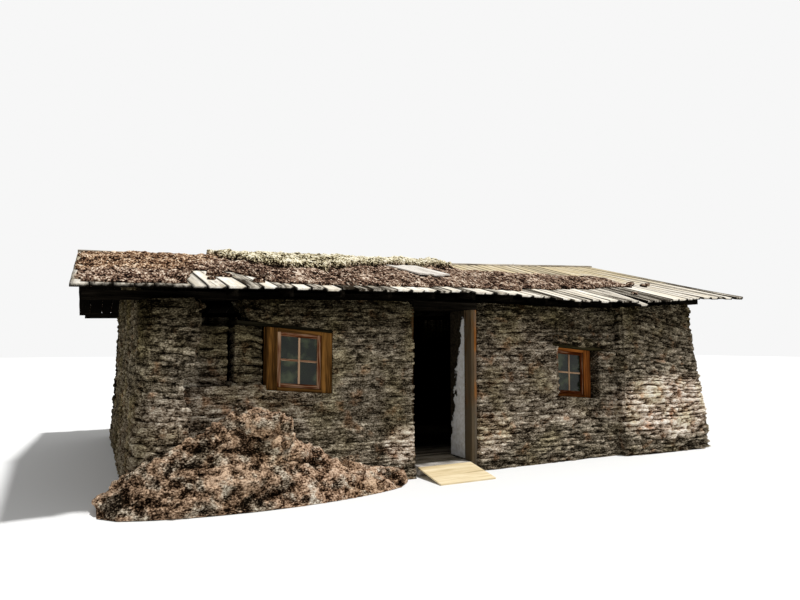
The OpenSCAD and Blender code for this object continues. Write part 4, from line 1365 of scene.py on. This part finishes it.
# Near black and dark olive: dust, with painted shade of the dark room behind
glass.colour(glass.ramp(dust_and_shade, (0.35, "#070b04"), (0.52, "#182012"), (0.7, "#4e573c")))
glass.shader.inputs["Specular IOR Level"].default_value = 0.2
glass.shader.inputs["Transmission Weight"].default_value = 0.2
for side in ("west", "east"):
    dress(nodes[f"{side}_window_glass"], glass)
print("two windows glazed with", glass.material.name)

# %% [markdown]
# ## The doorway
# Two posts, a sill and a step board line the doorway, and the east reveal is plastered with
# lime that flakes off. The posts are boards with worn feet. The step is a thin board that
# lies as its solid does, from the sill down to the ground, so rays give its heights.

# %% Door posts
POST_SPLIT = 0.048
door_wood = wood_finish("door_wood", "#150e08", "#47341f", "#7c5c38", grey="#574c3c", coarse=1.4)
edge_wood = wood_finish("door_edge_wood", "#2c1507", "#7a4a22", "#b07a44", grey="#6a6052",
                        coarse=1.4)
west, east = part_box("door_post_west"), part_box("door_post_east")
split = east[0].x + POST_SPLIT
for x0, x1, (low, high), back_from, name, finish, *node in (
        (east[0].x, split - 0.002, east, 0, "east_door_post_board", door_wood, "door_post_east"),
        (split, east[1].x, east, 0.008, "east_door_post_edge", edge_wood),
        (west[0].x, west[1].x, west, 0, "west_door_post_board", door_wood, "door_post_west")):
    post = upright_board(x0, x1, low.y + back_from, high.y, 0, high.z, cuts=12)
    # A standing board is worn grey near the ground
    store(post, "worn", smoothstep(-points_of(post)[:, 2], -1.0, -0.25))
    keep(post, name, finish, "stained_wood", *node)

# %% Sill
low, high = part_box("door_sill")
sill = board(high.x - low.x, high.y - low.y, high.z, wear=0.008)
lay(sill, tuple((low + high) / 2), wobble=0.002)
move_points(sill, np.maximum(points_of(sill), (-np.inf, -np.inf, 0)))
keep(sill, "door_sill_plank", old_timber, "frame_timber", "door_sill")

# %% Step board
STEP_T = 0.02
step_wood = wood_finish("step_wood", "#94805f", "#d9c499", "#f0e0bd", coarse=0.6)
low, high = (np.array(corner)[:2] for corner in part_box("door_step_board"))
step = board(*(high - low), STEP_T, wear=0.003, cuts=10, across_cuts=8)
step_at = points_of(step)
places = step_at[:, :2] + (low + high) / 2
step_top = top_of(solid_of("door_step_board"), np.clip(places, low + INSET, high - INSET))
step_z = np.maximum(step_top - STEP_T / 2 + step_at[:, 2], 0.0)
move_points(step, np.column_stack([places, step_z]))
keep(step, "door_step_plank", step_wood, "step_wood", "door_step_board")

# %% Lime plaster in the reveal
REVEAL_BACK_Y = -2.15
plaster = Finish("flaking_lime", roughness=0.9)
# The lime reaches further back near the foot than near the head
bare = (plaster.noise(9.0, 5.0) * 0.5 + plaster.noise(3.0, 2.0) * 0.5
        + (plaster.axis("Y") - REVEAL_BACK_Y + plaster.axis("Z") * 0.22) * 1.6)
flaked = plaster.range(bare, 0.58, 0.62)
lime = plaster.ramp(plaster.noise(24.0, 4.0), (0.3, "#dedbd4"), (0.7, "#ffffff"))
bare_sod = plaster.ramp(plaster.noise(38.0, 4.0), (0.3, "#15110c"), (0.7, "#40382c"))
plaster.colour(plaster.mix(flaked, lime, bare_sod))
plaster.bump(1 - flaked, 0.012, 1.0)
dress(nodes["door_reveal_plaster"], plaster)
print("door_reveal_plaster is dressed in", plaster.material.name)

# %% [markdown]
# ## A strip of sod on the east lintel
# The lintel over the east window carries a strip of sod that stands out of the wall. A box of
# its size is remeshed into small voxels, so that noise can crumble it, and racks with the
# window. Its lower half stays dark, because no light reaches it.

# %% The strip
STRIP_H, STRIP_D = 0.12, 0.12
STRIP_OUT = 0.08
STRIP_VOXEL = 0.012

low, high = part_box("east_window_lintel")
strip = added(bpy.ops.mesh.primitive_cube_add, size=1)
resize(high.x - low.x - 0.02, STRIP_D, STRIP_H)
strip_at = points_of(remeshed(strip, STRIP_VOXEL))
crumbs = rough_noise(strip_at / (0.08, 0.06, 0.03), 181)
lit = smoothstep(strip_at[:, 2], -0.5 * STRIP_H, 0)
strip_at += normals_of(strip) * (0.018 * crumbs)[:, None]
strip_at[:, 2] += (low.z + high.z) / 2 + 0.5 * STRIP_H + 0.01 - strip_at[:, 0] * RACK
strip_at += ((low.x + high.x) / 2, low.y + 0.5 * STRIP_D - STRIP_OUT, 0)
move_points(strip, strip_at)
store(strip, "relief", np.clip(0.1 + 0.4 * lit + 0.45 * crumbs, 0, 1))
store(strip, "tone", 0.5 + 0.4 * noise(strip_at / 0.1, 182))
# Painted shade over the whole strip, under the eave
store(strip, "sheltered", np.full(len(strip_at), 0.25))
bpy.ops.object.shade_smooth()
keep(strip, "east_lintel_sod", sod, "sod")
